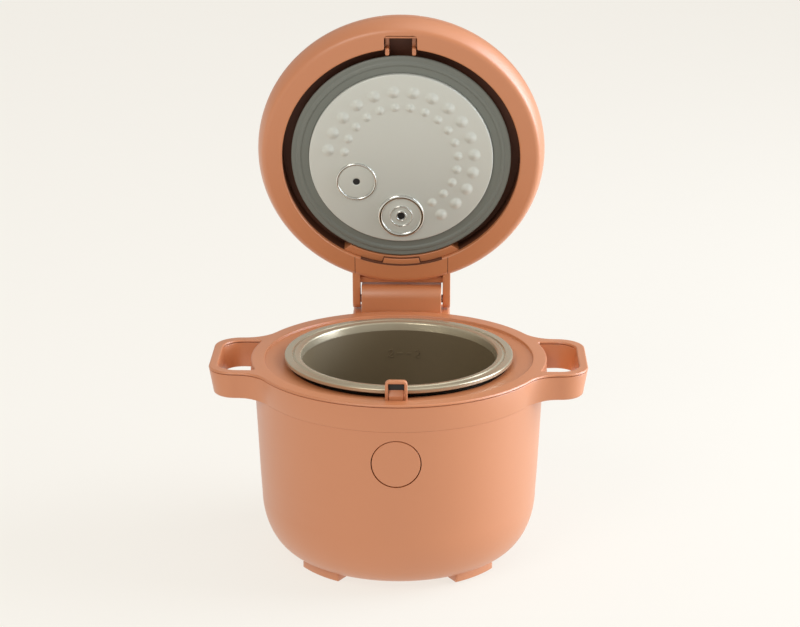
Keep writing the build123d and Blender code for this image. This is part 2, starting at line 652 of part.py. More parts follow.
# ---------------------------------------------------------------- latch in the lid
def make_latch_lever():
    """U-shaped foot with a tongue, a neck and the release button, all one moulding."""
    bar = extrude_x([(-96.8, lid_h(3.9)), (-96.8, lid_h(12.4)), (-95.2, lid_h(12.4)), (-95.2, lid_h(2.8)),
                     (-95.9, lid_h(2.8))], 11.2, 0)
    legs = [block(min(s * 8.2, s * 11.2), max(s * 8.2, s * 11.2), -96.0, -80.6, lid_h(2.8), lid_h(5.4))
            for s in (-1, 1)]
    tongue = extrude_x([(-95.5, lid_h(6.8)), (-95.5, lid_h(9.8)), (-93.3, lid_h(9.8)),
                        (-94.3, lid_h(6.8))], 4.6, 0)
    neck = block(-6.0, 6.0, -97.2, -94.8, lid_h(12.0), lid_h(24.0))
    boss = cyl_x(3.0, -6.0, 6.0, LATCH_PIVOT_Y, lid_h(LATCH_PIVOT_H))
    head = block(-14.0, 14.0, -120, -88, lid_h(21.8), lid_h(33.2)) & (dome_solid(0.0) - dome_solid(2.8))
    web = block(-6.0, 6.0, -102.0, -95.0, lid_h(22.0), lid_h(25.0)) & dome_solid(1.0)
    lever = bar + joined(legs) + tongue + neck + boss + head + web
    return lever - cyl_x(LATCH_PIN_R + 0.05, -30, 30, LATCH_PIVOT_Y, lid_h(LATCH_PIVOT_H))


def make_latch_pin():
    return cyl_x(LATCH_PIN_R, -14.6, 14.6, LATCH_PIVOT_Y, lid_h(LATCH_PIVOT_H))


def make_latch_spring():
    place = Pos(6.9, LATCH_PIVOT_Y, lid_h(LATCH_PIVOT_H)) * Rot(0, 90, 0)
    return coil(2.3, 0.3, 5, 0.9, place)


# ---------------------------------------------------------------- removable inner lid
BALL_X = 37.2 * cos(radians(208.5))
BALL_Y = -37.2 * sin(radians(208.5))
DIMPLE_STEP = 15.25
DIMPLE_ROWS = ((53.4, 4.7), (41.5, 3.5))
PLATE_H = 0.7
BALL_SEAT_H = 1.5
BALL_H = 3.47            # centre of the ball on its seat


def make_inner_lid_plate():
    """Stainless plate with an upturned rim, two valve openings and two rows of pressed dimples."""
    plate = spin((0, lid_h(PLATE_H)), (PLATE_R, lid_h(PLATE_H), 1.0), (PLATE_R, lid_h(5.2)),
                 (PLATE_R - 0.6, lid_h(5.2)), (PLATE_R - 0.6, lid_h(PLATE_H + 0.6)), (0, lid_h(PLATE_H + 0.6)))
    rise = 0.9
    caps = []
    for row_r, cap_r in DIMPLE_ROWS:
        ball_r = (cap_r ** 2 + rise ** 2) / (2 * rise)
        ball = Pos(0, 0, lid_h(PLATE_H - rise + ball_r)) * Sphere(ball_r)
        cap = ball & cyl(cap_r, lid_h(-2), lid_h(PLATE_H + 0.1))
        for i in range(16):
            a = radians(172.0 - DIMPLE_STEP * i)
            caps.append(Pos(row_r * cos(a), -row_r * sin(a), 0) * cap)
    plate = plate.fuse(*caps)
    plate = plate - cyl(14.1, lid_h(-1), lid_h(4), BALL_X, BALL_Y)
    return plate - cyl(16.4, lid_h(-1), lid_h(4), 0, STEAM_Y)


def make_inner_lid_ring():
    """Plastic carrier behind the plate and the gasket."""
    ring = spin((62.0, lid_h(5.3)), (79.0, lid_h(5.3)), (79.0, lid_h(8.0), 0.8), (62.0, lid_h(8.0)))
    spokes = cyl(66.0, lid_h(6.0), lid_h(7.4)) - cyl(14.2, 0, 300, BALL_X, BALL_Y)
    spokes = spokes - cyl(16.5, 0, 300, 0, STEAM_Y)
    return ring + spokes


def make_lid_gasket():
    """Silicone ring with a raised bead that seals on the pot's lip."""
    return spin((67.4, lid_h(3.2)), (72.6, lid_h(3.2), 0.3), (73.4, lid_h(2.6), 0.5), (75.2, lid_h(2.6), 0.5),
                (76.0, lid_h(3.2), 0.3), (79.4, lid_h(2.9), 0.4), (GASKET_R, lid_h(3.6), 0.3),
                (GASKET_R, lid_h(5.2)), (67.4, lid_h(5.2)))


def make_ball_valve():
    """Round valve body with the ball's cage and its small hole."""
    body = spin((2.6, lid_h(-0.3)), (15.1, lid_h(-0.3), 0.5), (15.1, lid_h(0.6)), (14.0, lid_h(0.6)),
                (14.0, lid_h(8.0)), (10.0, lid_h(8.0)), (10.0, lid_h(9.2)), (0, lid_h(9.2)), (0, lid_h(8.6)),
                (3.6, lid_h(8.6)), (3.6, lid_h(BALL_SEAT_H)), (2.6, lid_h(BALL_SEAT_H)))
    return Pos(BALL_X, BALL_Y, 0) * body


def make_valve_ball():
    return Pos(BALL_X, BALL_Y, lid_h(BALL_H)) * Sphere(BALL_R)


def make_steam_port():
    """Stepped round port that leads the steam from the pot into the lid."""
    body = spin((2.8, lid_h(-0.6)), (8.1, lid_h(-0.6), 0.4), (8.1, lid_h(0.2)), (17.4, lid_h(0.0), 0.4),
                (17.4, lid_h(0.6)), (16.3, lid_h(0.6)), (16.3, lid_h(8.0)), (9.0, lid_h(8.0)), (9.0, lid_h(3.0)),
                (2.8, lid_h(1.4)))
    return Pos(0, STEAM_Y, 0) * body


# ---------------------------------------------------------------- steam way and cap
def make_steam_duct():
    """Soft tube from the recess to the steam cap's pocket."""
    return cyl(12.0, lid_h(LID_TRAY_H), lid_h(STEAM_FLOOR_H), 0, STEAM_Y) - cyl(9.6, 0, 300, 0, STEAM_Y)


def make_steam_cap():
    """Outer cap, flush with the dome, with a row of vent slots."""
    cap = cyl(STEAM_CAP_R - 0.2, lid_h(STEAM_FLOOR_H + 4), lid_h(60), 0, STEAM_Y) & dome_solid(0.0)
    cap = cap - (cyl(STEAM_CAP_R - 2.2, 0, lid_h(60), 0, STEAM_Y) & dome_solid(2.0))
    slots = [block(-7, 7, STEAM_Y + 4.6 * i - 1.1, STEAM_Y + 4.6 * i + 1.1, lid_h(36), lid_h(60))
             for i in (-1, 0, 1)]
    return cap - joined(slots)


def make_steam_cap_base():
    """Clip-on bottom of the cap with the spout that plugs into the duct."""
    z0 = lid_h(STEAM_FLOOR_H + 0.3)
    body = spin((5.0, z0 - 8), (8.0, z0 - 8), (8.0, z0), (STEAM_CAP_R - 0.2, z0), (STEAM_CAP_R - 0.2, z0 + 3.6),
                (14.0, z0 + 3.6), (14.0, z0 + 1.6), (5.0, z0 + 1.6))
    return Pos(0, STEAM_Y, 0) * body


def make_steam_cap_seal():
    z0 = lid_h(STEAM_FLOOR_H + 0.3)
    seal = spin((8.05, z0 - 5.0), (9.2, z0 - 4.4), (9.2, z0 - 3.2), (8.05, z0 - 2.6))
    return Pos(0, STEAM_Y, 0) * seal


# ---------------------------------------------------------------- assembly
def lid_opened(shape):
    """Turn a piece of the closed lid open about the hinge pin."""
    return Pos(0, PIVOT_Y, PIVOT_Z) * Rot(-OPEN_ANGLE, 0, 0) * Pos(0, -PIVOT_Y, -PIVOT_Z) * shape


def base_pieces():
    pieces = {
        "top_ring": make_top_ring(),
        "collar": make_collar(),
        "outer_shell": make_outer_shell(),
        "base_cover": make_base_cover(),
        "catch_post": make_catch_post(),
        "inner_liner": make_inner_liner(),
        "heating_plate": make_heating_plate(),
        "heating_element": make_heating_element(),
        "sensor_plunger": make_sensor_plunger(),
        "sensor_bracket": make_sensor_bracket(),
        "sensor_spring": coil(9.0, 0.5, 5, 3.6, Pos(0, 0, BRACKET_Z + 1.6)),
        "thermal_fuse": make_thermal_fuse(),
        "start_button": make_start_button(),
        "button_guide": make_button_guide(),
        "button_board": make_button_board(),
        "tact_switch": make_tact_switch(),
        "power_board": make_power_board(),
        "relay": block(-34, -14, 36, 52, BOARD_Z + BOARD_T, BOARD_Z + RELAY_TOP),
        "filter_capacitor": block(4, 30, 40, 50, BOARD_Z + BOARD_T, BOARD_Z + CAPACITOR_TOP),
        "inlet_socket": make_inlet_socket(),
        "inlet_pins": Compound(children=inlet_pin_solids()),
        "hinge_housing": make_hinge_housing(),
        "hinge_bracket": make_hinge_bracket(),
        "hinge_pin": cyl_x(PIN_R, -EAR_OUT, EAR_OUT, PIVOT_Y, PIVOT_Z),
        "hinge_spring_right": make_hinge_spring(1),
        "hinge_spring_left": make_hinge_spring(-1),
        "pot": make_pot(),
        "ring_screws": Compound(children=around(6, 30, 90.0, lambda x, y: screw(x, y, down(16.0), 9.0))),
        "plate_screws": Compound(children=around(3, 90, 46.0, lambda x, y: screw(x, y, LINER_FLOOR - 0.8, 7.0))),
        "base_screws": Compound(children=around(4, 45, BASE_SCREW_R,
                                                lambda x, y: screw(x, y, SHELL_STEP_Z - 0.9, 8.0))),
    }
    pad = foot_sector(FOOT_R_IN + 2.1, FOOT_R_OUT - 2.1, FOOT_A0 + 2.1, FOOT_A1 - 2.1, 0, PAD_T)
    names = ("foot_pad_back_right", "foot_pad_back_left", "foot_pad_front_right", "foot_pad_front_left")
    pieces.update(zip(names, four_corners(pad)))
    return pieces


def lid_pieces():
    return {
        "lid_frame": make_lid_frame(),
        "lid_cover": make_lid_cover(),
        "lid_hinge_arm": make_lid_hinge_arm(),
        "inner_lid_tab": make_inner_lid_tab(),
        "latch_lever": make_latch_lever(),
        "latch_pin": make_latch_pin(),
        "latch_spring": make_latch_spring(),
        "inner_lid_plate": make_inner_lid_plate(),
        "inner_lid_ring": make_inner_lid_ring(),
        "lid_gasket": make_lid_gasket(),
        "ball_valve_body": make_ball_valve(),
        "valve_ball": make_valve_ball(),
        "steam_port": make_steam_port(),
        "steam_duct": make_steam_duct(),
        "steam_cap": make_steam_cap(),
        "steam_cap_base": make_steam_cap_base(),
        "steam_cap_seal": make_steam_cap_seal(),
        "lid_screws": Compound(children=around(4, 45, LID_SCREW_R,
                                               lambda x, y: screw(x, y, lid_h(LID_TRAY_H), 12.0))),
    }


def main():
    os.makedirs("parts", exist_ok=True)
    for name, shape in base_pieces().items():
        export_step(shape, f"parts/{name}.step")
    for name, shape in lid_pieces().items():
        export_step(lid_opened(shape), f"parts/{name}.step")


main()
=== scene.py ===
# %% [markdown]
# # A small rice cooker with its lid open
#
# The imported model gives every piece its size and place, in metres, with the body's axis at x = 0, y = 0 and
# the table at z = 0. This file keeps the working parts inside as they are and makes the visible mouldings,
# the pot and the inner lid again as smooth surfaces, because a real moulding has a small radius on every
# edge.

import json

import bmesh
import bpy
import numpy as np
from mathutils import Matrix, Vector
from mathutils.geometry import tessellate_polygon


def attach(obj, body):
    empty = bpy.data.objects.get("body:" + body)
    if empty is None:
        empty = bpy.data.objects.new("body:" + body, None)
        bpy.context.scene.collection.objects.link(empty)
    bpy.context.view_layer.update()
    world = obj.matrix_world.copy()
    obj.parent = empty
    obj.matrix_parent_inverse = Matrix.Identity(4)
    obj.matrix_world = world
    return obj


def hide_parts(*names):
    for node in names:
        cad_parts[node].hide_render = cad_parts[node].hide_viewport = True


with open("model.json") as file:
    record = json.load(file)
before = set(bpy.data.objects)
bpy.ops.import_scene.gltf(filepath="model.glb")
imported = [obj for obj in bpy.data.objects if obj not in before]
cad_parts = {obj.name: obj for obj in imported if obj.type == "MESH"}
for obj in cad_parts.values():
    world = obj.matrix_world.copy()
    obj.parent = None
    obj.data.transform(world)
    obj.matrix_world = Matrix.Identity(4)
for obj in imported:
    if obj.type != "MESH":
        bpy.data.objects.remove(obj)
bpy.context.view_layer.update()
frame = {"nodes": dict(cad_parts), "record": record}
nodes = frame["nodes"]
MM = 0.001
RIM = 144.5                    # height of the rim above the table, in millimetres like the sizes below
LID = RIM + 0.7                # underside of the closed lid
PIVOT = (118.0, LID + 5.3)     # the hinge pin's y and z
OPEN = np.radians(78.0)        # how far the lid is turned at rest

# %% [markdown]
# ## Camera, lights and floor
#
# The cooker is seen from the front, a little from above, with a long lens. The light is a very large soft
# panel on the right with a small low one beneath it, a weaker panel at the front left and a faint one
# overhead, so broad highlights run round the satin plastic. A flat pale world fills the shadows. Area
# lights were chosen over small lamps because their shadows have soft edges.


# %% A camera that looks at a point from a direction
def look(azimuth, elevation, distance):
    """Point at a distance from the rim's centre: azimuth turns it to the right of the front, elevation
    lifts it."""
    turn, lift = np.radians([azimuth, elevation])
    ray = np.array([np.sin(turn) * np.cos(lift), -np.cos(turn) * np.cos(lift), np.sin(lift)])
    return Vector(ray * distance + [0, 0, RIM * MM])


AZIMUTH, ELEVATION, DISTANCE = 1.05, 18.5, 1.6
TILT, PAN = 17.44, 1.017       # the view is turned a little off the rim's centre, so the whole lid fits in
camera = bpy.data.objects.new("camera", bpy.data.cameras.new("camera"))
bpy.context.scene.collection.objects.link(camera)
camera.location = look(AZIMUTH, ELEVATION, DISTANCE)
camera.rotation_euler = np.radians([90 - TILT, 0, PAN]).tolist()
camera.data.lens = 101.9
camera.data.sensor_width = 36.0
bpy.context.scene.camera = camera
print("camera at", [round(c, 3) for c in camera.location])


# %% Soft panels, world and floor
def panel(name, place, target, size, power, colour):
    """Square area light at a place, turned so that its -Z axis points to the target."""
    light = bpy.data.objects.new(name, bpy.data.lights.new(name, "AREA"))
    light.data.size = size
    light.data.energy = power
    light.data.color = colour
    light.location = place
    aim = Vector(target) - Vector(place)
    light.rotation_euler = aim.to_track_quat("-Z", "Y").to_euler()
    bpy.context.scene.collection.objects.link(light)
    return light


panel("key_right", (1.7, 0.25, 1.0), (0, 0, 0.2), 1.5, 36.0, (0.88, 1.0, 1.14))
panel("low_right", (1.25, 0.1, 0.3), (0, 0, 0.1), 0.6, 6.0, (0.91, 1.0, 1.12))
panel("front", (-0.9, -1.6, 1.6), (0, 0, 0.2), 1.0, 16.0, (1.0, 0.97, 0.92))
panel("top", (0.4, 0.2, 1.7), (0, 0, 0.1), 0.9, 3.0, (1.0, 0.99, 0.97))

world = bpy.data.worlds.new("studio")
bpy.context.scene.world = world
world.use_nodes = True
background = world.node_tree.nodes["Background"]
background.inputs["Color"].default_value = (0.95, 0.93, 0.89, 1)
background.inputs["Strength"].default_value = 0.52

# %% [markdown]
# ## Finishes
#
# The casing is one colour of satin plastic: slightly cloudy in tone, with a very fine spark-eroded texture
# that breaks up the highlight. Two node groups serve all the mouldings, the rubber and the metals. One
# gives a slow drift of colour and roughness, and the other gives the fine texture's height. They read
# Object coordinates, so nothing needs a UV map.


# %% Node groups: slow drift and fine texture
def node(tree, kind, place, **values):
    """Node of a kind at a place in the tree, with some of its settings."""
    made = tree.nodes.new(kind)
    made.location = place
    for key, value in values.items():
        setattr(made, key, value)
    return made


def group(name, inputs, outputs):
    """Empty shader node group with named inputs (name, kind, default) and outputs (name, kind)."""
    tree = bpy.data.node_groups.new(name, "ShaderNodeTree")
    for label, kind, default in inputs:
        socket = tree.interface.new_socket(name=label, in_out="INPUT", socket_type=kind)
        socket.default_value = default
    for label, kind in outputs:
        tree.interface.new_socket(name=label, in_out="OUTPUT", socket_type=kind)
    return tree, node(tree, "NodeGroupInput", (-600, 0)), node(tree, "NodeGroupOutput", (600, 0))


def drift_group():
    """Colour between two tones and a roughness about a mean, both by slow noise in object space."""
    inputs = [("Tone", "NodeSocketColor", (0.5, 0.5, 0.5, 1)),
              ("Second Tone", "NodeSocketColor", (0.4, 0.4, 0.4, 1)),
              ("Roughness", "NodeSocketFloat", 0.4), ("Roughness Spread", "NodeSocketFloat", 0.05),
              ("Scale", "NodeSocketFloat", 14.0)]
    outputs = [("Color", "NodeSocketColor"), ("Roughness", "NodeSocketFloat")]
    tree, given, out = group("slow_drift", inputs, outputs)
    place = node(tree, "ShaderNodeTexCoord", (-600, -300))
    noise = node(tree, "ShaderNodeTexNoise", (-350, -100))
    noise.inputs["Detail"].default_value = 3.0
    tree.links.new(place.outputs["Object"], noise.inputs["Vector"])
    tree.links.new(given.outputs["Scale"], noise.inputs["Scale"])
    mix = node(tree, "ShaderNodeMix", (0, 100), data_type="RGBA")
    tree.links.new(noise.outputs["Fac"], mix.inputs["Factor"])
    tree.links.new(given.outputs["Tone"], mix.inputs["A"])
    tree.links.new(given.outputs["Second Tone"], mix.inputs["B"])
    tree.links.new(mix.outputs["Result"], out.inputs["Color"])
    centred = node(tree, "ShaderNodeMath", (0, -150), operation="SUBTRACT")
    centred.inputs[1].default_value = 0.5
    spread = node(tree, "ShaderNodeMath", (200, -150), operation="MULTIPLY_ADD")
    tree.links.new(noise.outputs["Fac"], centred.inputs[0])
    tree.links.new(centred.outputs[0], spread.inputs[0])
    tree.links.new(given.outputs["Roughness Spread"], spread.inputs[1])
    tree.links.new(given.outputs["Roughness"], spread.inputs[2])
    tree.links.new(spread.outputs[0], out.inputs["Roughness"])
    return tree


def texture_group():
    """Height of a fine moulded texture: small cells and finer noise, added together."""
    inputs = [("Scale", "NodeSocketFloat", 1500.0), ("Stretch", "NodeSocketVector", (1, 1, 1))]
    tree, given, out = group("fine_texture", inputs, [("Height", "NodeSocketFloat")])
    place = node(tree, "ShaderNodeTexCoord", (-600, -300))
    stretch = node(tree, "ShaderNodeVectorMath", (-400, -200), operation="MULTIPLY")
    tree.links.new(place.outputs["Object"], stretch.inputs[0])
    tree.links.new(given.outputs["Stretch"], stretch.inputs[1])
    cells = node(tree, "ShaderNodeTexVoronoi", (-150, 0), feature="SMOOTH_F1")
    noise = node(tree, "ShaderNodeTexNoise", (-150, -300))
    total = node(tree, "ShaderNodeMath", (150, 0), operation="ADD")
    for texture in (cells, noise):
        tree.links.new(stretch.outputs[0], texture.inputs["Vector"])
        tree.links.new(given.outputs["Scale"], texture.inputs["Scale"])
    tree.links.new(cells.outputs["Distance"], total.inputs[0])
    tree.links.new(noise.outputs["Fac"], total.inputs[1])
    tree.links.new(total.outputs[0], out.inputs["Height"])
    return tree


DRIFT = drift_group()
TEXTURE = texture_group()
print("groups:", DRIFT.name, TEXTURE.name)


# %% One finish from its numbers
COAT_ROUGHNESS = 0.42          # the clear coat is as satin as the plastic under it
GRAIN_HEIGHT = 0.0002          # tallest grain of the fine texture, in metres


def linear(r, g, b):
    """Scene-linear colour of an 8-bit screen colour, by the sRGB curve."""
    c = np.array([r, g, b]) / 255
    c = np.where(c <= 0.04045, c / 12.92, ((c + 0.055) / 1.055) ** 2.4)
    return (*c.tolist(), 1.0)


def finish(name, tone, second, roughness, metal=0.0, scale=14.0, grain=1500.0, depth=0.02,
           stretch=(1, 1, 1), coat=0.0, specular=0.5):
    """Material with drifting tone and roughness and a fine height from the two groups."""
    made = bpy.data.materials.new(name)
    made.use_nodes = True
    tree = made.node_tree
    shader = tree.nodes["Principled BSDF"]
    shader.inputs["Metallic"].default_value = metal
    shader.inputs["Coat Weight"].default_value = coat
    shader.inputs["Coat Roughness"].default_value = COAT_ROUGHNESS
    shader.inputs["Specular IOR Level"].default_value = specular
    drift = node(tree, "ShaderNodeGroup", (-400, 200), node_tree=DRIFT)
    drift.inputs["Tone"].default_value = linear(*tone)
    drift.inputs["Second Tone"].default_value = linear(*second)
    drift.inputs["Roughness"].default_value = roughness
    drift.inputs["Roughness Spread"].default_value = 0.06
    drift.inputs["Scale"].default_value = scale
    texture = node(tree, "ShaderNodeGroup", (-600, -200), node_tree=TEXTURE)
    texture.inputs["Scale"].default_value = grain
    texture.inputs["Stretch"].default_value = stretch
    bump = node(tree, "ShaderNodeBump", (-300, -200))
    bump.inputs["Strength"].default_value = depth
    bump.inputs["Distance"].default_value = GRAIN_HEIGHT
    tree.links.new(texture.outputs["Height"], bump.inputs["Height"])
    tree.links.new(bump.outputs["Normal"], shader.inputs["Normal"])
    tree.links.new(drift.outputs["Color"], shader.inputs["Base Color"])
    tree.links.new(drift.outputs["Roughness"], shader.inputs["Roughness"])
    return made


# %% [markdown]
# The finishes themselves. Each is named as the part's record names its slot, so a piece and its finish stay
# together. The plate's brushing is the same fine texture, stretched along one direction.

# %% All the finishes
MATERIALS = {
    "casing_plastic": finish("casing_plastic", (204, 127, 78), (199, 122, 74), 0.46, depth=0.10,
                             specular=0.8, coat=0.8),
    "grey_silicone": finish("grey_silicone", (122, 126, 118), (114, 117, 110), 0.5, depth=0.06, grain=900),
    "stainless": finish("stainless", (212, 214, 206), (206, 208, 200), 0.4, metal=0.22, depth=0.05,
                        stretch=(0.05, 1, 1), grain=2200),
    "chrome": finish("chrome", (222, 222, 216), (216, 216, 210), 0.12, metal=1.0, depth=0.0),
    # The valve ball's chrome is darkened: painted shade for the hole it sits in.
    "chrome_painted_hole_shade": finish("chrome_painted_hole_shade", (70, 70, 68), (62, 62, 60), 0.1, metal=1.0, depth=0.0),
    "pot_metal": finish("pot_metal", (120, 104, 78), (112, 97, 72), 0.42, metal=0.05, depth=0.05,
                        specular=0.9),
    "pot_lip": finish("pot_lip", (196, 184, 158), (188, 176, 150), 0.26, metal=0.6, specular=0.9),
    "pot_outside": finish("pot_outside", (205, 196, 176), (196, 187, 168), 0.36, metal=1.0, depth=0.05),
    # Dark brown of painted shade, for the lid's tray, the gaps, the seams, the button's guide and the liner.
    "tray_shadow": finish("tray_shadow", (100, 56, 35), (90, 50, 31), 0.6, depth=0.1),
    "cast_aluminium": finish("cast_aluminium", (176, 176, 172), (160, 160, 156), 0.55, metal=1.0, depth=0.4),
    "sheet_steel": finish("sheet_steel", (186, 188, 190), (170, 172, 174), 0.35, metal=1.0),
    "spring_steel": finish("spring_steel", (150, 150, 150), (130, 130, 130), 0.28, metal=1.0),
    "black_plastic": finish("black_plastic", (30, 30, 31), (24, 24, 25), 0.45, depth=0.1),
    "white_plastic": finish("white_plastic", (228, 226, 220), (218, 216, 210), 0.45, depth=0.1),
    "circuit_board": finish("circuit_board", (34, 96, 56), (26, 84, 48), 0.4, scale=120),
    "pad_rubber": finish("pad_rubber", (60, 58, 55), (50, 48, 46), 0.7, depth=0.4, grain=700),
    "contact_brass": finish("contact_brass", (206, 170, 96), (190, 150, 80), 0.3, metal=1.0),
}

# Each node takes its record's finish. The ball, the button's guide and the liner are darker than their
# kind: their colour is painted shade, for the ball's hole, the button's groove and the hollow under the pot's
# lip.
for row in frame["record"]["subparts"]:
    thing = nodes[row["node"]]
    for i in range(len(thing.material_slots)):
        thing.material_slots[i].material = MATERIALS[row["material_slot"]]
nodes["valve_ball"].material_slots[0].material = MATERIALS["chrome_painted_hole_shade"]
for name in ("button_guide", "inner_liner"):
    nodes[name].material_slots[0].material = MATERIALS["tray_shadow"]
print("finishes:", len(MATERIALS))

# %% [markdown]
# ## The tools that make the surfaces
#
# A moulded box or ring can be built from a cube and a Bevel modifier, but the radius then depends on how
# the faces happen to meet. Here an outline is drawn as a loop of points, the loop is moved inwards step by
# step while it climbs round a quarter circle, and the loops are joined into a wall. Every edge gets exactly
# the radius it should have, and the same helper makes a flat ring, a tower or a small lever. Round pieces
# are a profile turned about the axis.


# %% Mesh, smooth shading and finish
def piece(name, body, stands_for, material, points, faces, sharp=38):
    """Mesh from points in millimetres and a list of faces: doubles merged, faces turned outwards, smooth up
    to an edge angle. It rides on a body, hides the nodes it stands for and takes their finish."""
    mesh = bpy.data.meshes.new(name)
    mesh.from_pydata((np.asarray(points) * MM).tolist(), [], faces)
    work = bmesh.new()
    work.from_mesh(mesh)
    bmesh.ops.remove_doubles(work, verts=work.verts, dist=2e-6)
    bmesh.ops.dissolve_degenerate(work, edges=work.edges, dist=1e-7)
    bmesh.ops.recalc_face_normals(work, faces=work.faces)
    work.to_mesh(mesh)
    work.free()
    mesh.shade_smooth()
    mesh.set_sharp_from_angle(angle=np.radians(sharp))
    made = bpy.data.objects.new(name, mesh)
    bpy.context.scene.collection.objects.link(made)
    mesh.materials.append(MATERIALS[material])
    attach(made, body)
    if stands_for:
        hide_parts(*stands_for)
    low, high = np.min(points, axis=0), np.max(points, axis=0)
    print(f"{name}: {len(mesh.polygons)} faces, {np.round(high - low, 1)} mm")
    return made


def together(*shapes):
    """Several (points, faces) shapes as one: the faces' numbers move up by the points before them."""
    points, faces, count = [], [], 0
    for some_points, some_faces in shapes:
        points.append(some_points)
        faces += [[i + count for i in face] for face in some_faces]
        count += len(some_points)
    return np.vstack(points), faces


# %% Grids, turned profiles and loops
def grid_faces(rows, columns, closed):
    """Four-sided faces between neighbouring rows of a grid of points, round the seam where it is closed."""
    across = np.arange(columns if closed else columns - 1)
    i = np.arange(rows - 1)[:, None] * columns
    j, k = across[None, :], (across[None, :] + 1) % columns
    quads = np.stack([i + j, i + k, i + columns + k, i + columns + j], axis=-1)
    return quads.reshape(-1, 4).tolist()


def square_strip(rows):
    """Strip with a four-cornered section: rows holds its four edges, and both ends get a face."""
    points = np.stack(rows, axis=1)
    last = 4 * len(points)
    ends = [[0, 1, 2, 3], [last - 1, last - 2, last - 3, last - 4]]
    return points.reshape(-1, 3), grid_faces(len(points), 4, True) + ends


def turned(profile, steps=192, centre=(0, 0), closed=True):
    """Surface of revolution: profile point (r, z) at angle t lies at (r cos t, r sin t, z)."""
    profile = np.asarray(profile, float)
    if closed:
        profile = np.vstack([profile, profile[:1]])
    t = np.linspace(0, 2 * np.pi, steps, endpoint=False)
    r, z = profile[:, :1], profile[:, 1:]
    points = np.stack([r * np.cos(t) + centre[0], r * np.sin(t) + centre[1], z + 0 * t], axis=-1)
    return points.reshape(-1, 3), grid_faces(len(profile), steps, True)


def rounded(corners, steps=8, closed=True):
    """Outline with its corners rounded. Each corner is (u, v, radius). The arc's centre lies on the
    corner's bisector at radius / sin(half angle), and the arc is the slerp between its two touching points,
    which lie at radius / tan(half angle) from the corner. Where two arcs would meet on an edge, both are
    made smaller."""
    c = np.asarray(corners, float)
    p, radius = c[:, :2], np.maximum(c[:, 2], 0.02)[:, None]
    back, ahead = np.roll(p, 1, 0) - p, np.roll(p, -1, 0) - p
    if not closed:
        back[0], ahead[-1] = -ahead[0], -back[-1]
    length = np.linalg.norm(ahead, axis=1, keepdims=True)
    back /= np.linalg.norm(back, axis=1, keepdims=True)
    ahead /= np.linalg.norm(ahead, axis=1, keepdims=True)
    half = np.arccos(np.clip((back * ahead).sum(1, keepdims=True), -1, 1)) / 2
    straight = (half[:, 0] > np.radians(89.9)) | (radius[:, 0] < 0.03)
    half = np.minimum(half, np.radians(89.9))
    reach = np.where(straight[:, None], 0.0, radius / np.tan(half))
    room = np.minimum(0.98 * length / np.maximum(reach + np.roll(reach, -1, 0), 1e-9), 1.0)
    radius = radius * np.minimum(room, np.roll(room, 1, 0))
    bisector = back + ahead
    bisector /= np.maximum(np.linalg.norm(bisector, axis=1, keepdims=True), 1e-9)
    centre = p + bisector * radius / np.sin(half)
    touch = radius / np.tan(half)
    start, end = p + back * touch - centre, p + ahead * touch - centre
    sweep = np.pi - 2 * half
    k = np.linspace(0, 1, steps)
    a = np.sin((1 - k) * sweep) / np.sin(sweep)
    b = np.sin(k * sweep) / np.sin(sweep)
    arcs = centre[:, None] + a[..., None] * start[:, None] + b[..., None] * end[:, None]
    if not closed:
        straight[[0, -1]] = True
    arcs[straight] = p[straight][:, None]
    flat = arcs.reshape(-1, 2)
    keep = np.ones(len(flat), bool)
    keep[1:] = np.linalg.norm(np.diff(flat, axis=0), axis=1) > 1e-6
    return flat[keep]


def moved_out(loop, distance):
    """Loop moved along its outward normals: a point goes by the mean of its two edges' normals, longer by
    one over the cosine of half the turn. Outer loops run anticlockwise and holes clockwise, so both grow
    the material."""
    edge = np.roll(loop, -1, 0) - loop
    edge /= np.maximum(np.linalg.norm(edge, axis=1, keepdims=True), 1e-9)
    normal = np.stack([edge[:, 1], -edge[:, 0]], axis=1)
    mean = normal + np.roll(normal, 1, 0)
    mean /= (mean ** 2).sum(1, keepdims=True) / 2
    return loop + mean * np.reshape(distance, (-1, 1))


def cap(loops, height, up):
    """Flat cover between loops: their points and triangles, all facing up or all facing down."""
    triangles = tessellate_polygon([[Vector((u, v, 0)) for u, v in loop] for loop in loops])
    flat = np.vstack(loops)
    a, b, c = (flat[[t[i] for t in triangles]] for i in range(3))
    area = (b[:, 0] - a[:, 0]) * (c[:, 1] - a[:, 1]) - (b[:, 1] - a[:, 1]) * (c[:, 0] - a[:, 0])
    faces = [list(t) if (s > 0) == up else list(t)[::-1] for t, s in zip(triangles, area) if abs(s) > 1e-9]
    return np.column_stack([flat, np.full(len(flat), height)]), faces


def quarter(radius, low, height, steps=5, shrink=0.0, strip=0.25):
    """Levels (distance, height) of a wall's end: a flat strip, then a quarter circle of a radius, from the
    flat face outwards. low says which end it is, and shrink is how far the wall is drawn in there."""
    a = np.linspace(0, np.pi / 2, steps)
    side = 1 if low else -1
    bend = np.column_stack([-radius * (1 - np.sin(a)) - shrink, height + side * radius * (1 - np.cos(a))])
    levels = np.vstack([bend[:1] - [[strip, 0]], bend])
    return levels if low else levels[::-1]


def slab(loops, walls, ends=(True, True)):
    """Body between two flat faces. Each loop climbs through its wall, a list of (distance outwards, height)
    levels from the low face to the high one, and the first and last levels are closed by flat covers."""
    shapes = []
    for loop, wall in zip(loops, walls):
        rows = [np.column_stack([moved_out(loop, d), np.broadcast_to(h, len(loop))]) for d, h in wall]
        shapes.append((np.vstack(rows), grid_faces(len(rows), len(loop), True)))
    for end, up in ((0, False), (-1, True)):
        if ends[end]:
            flats = [moved_out(loop, wall[end][0]) for loop, wall in zip(loops, walls)]
            shapes.append(cap(flats, float(np.ravel(walls[0][end][1])[0]), up))
    return together(*shapes)


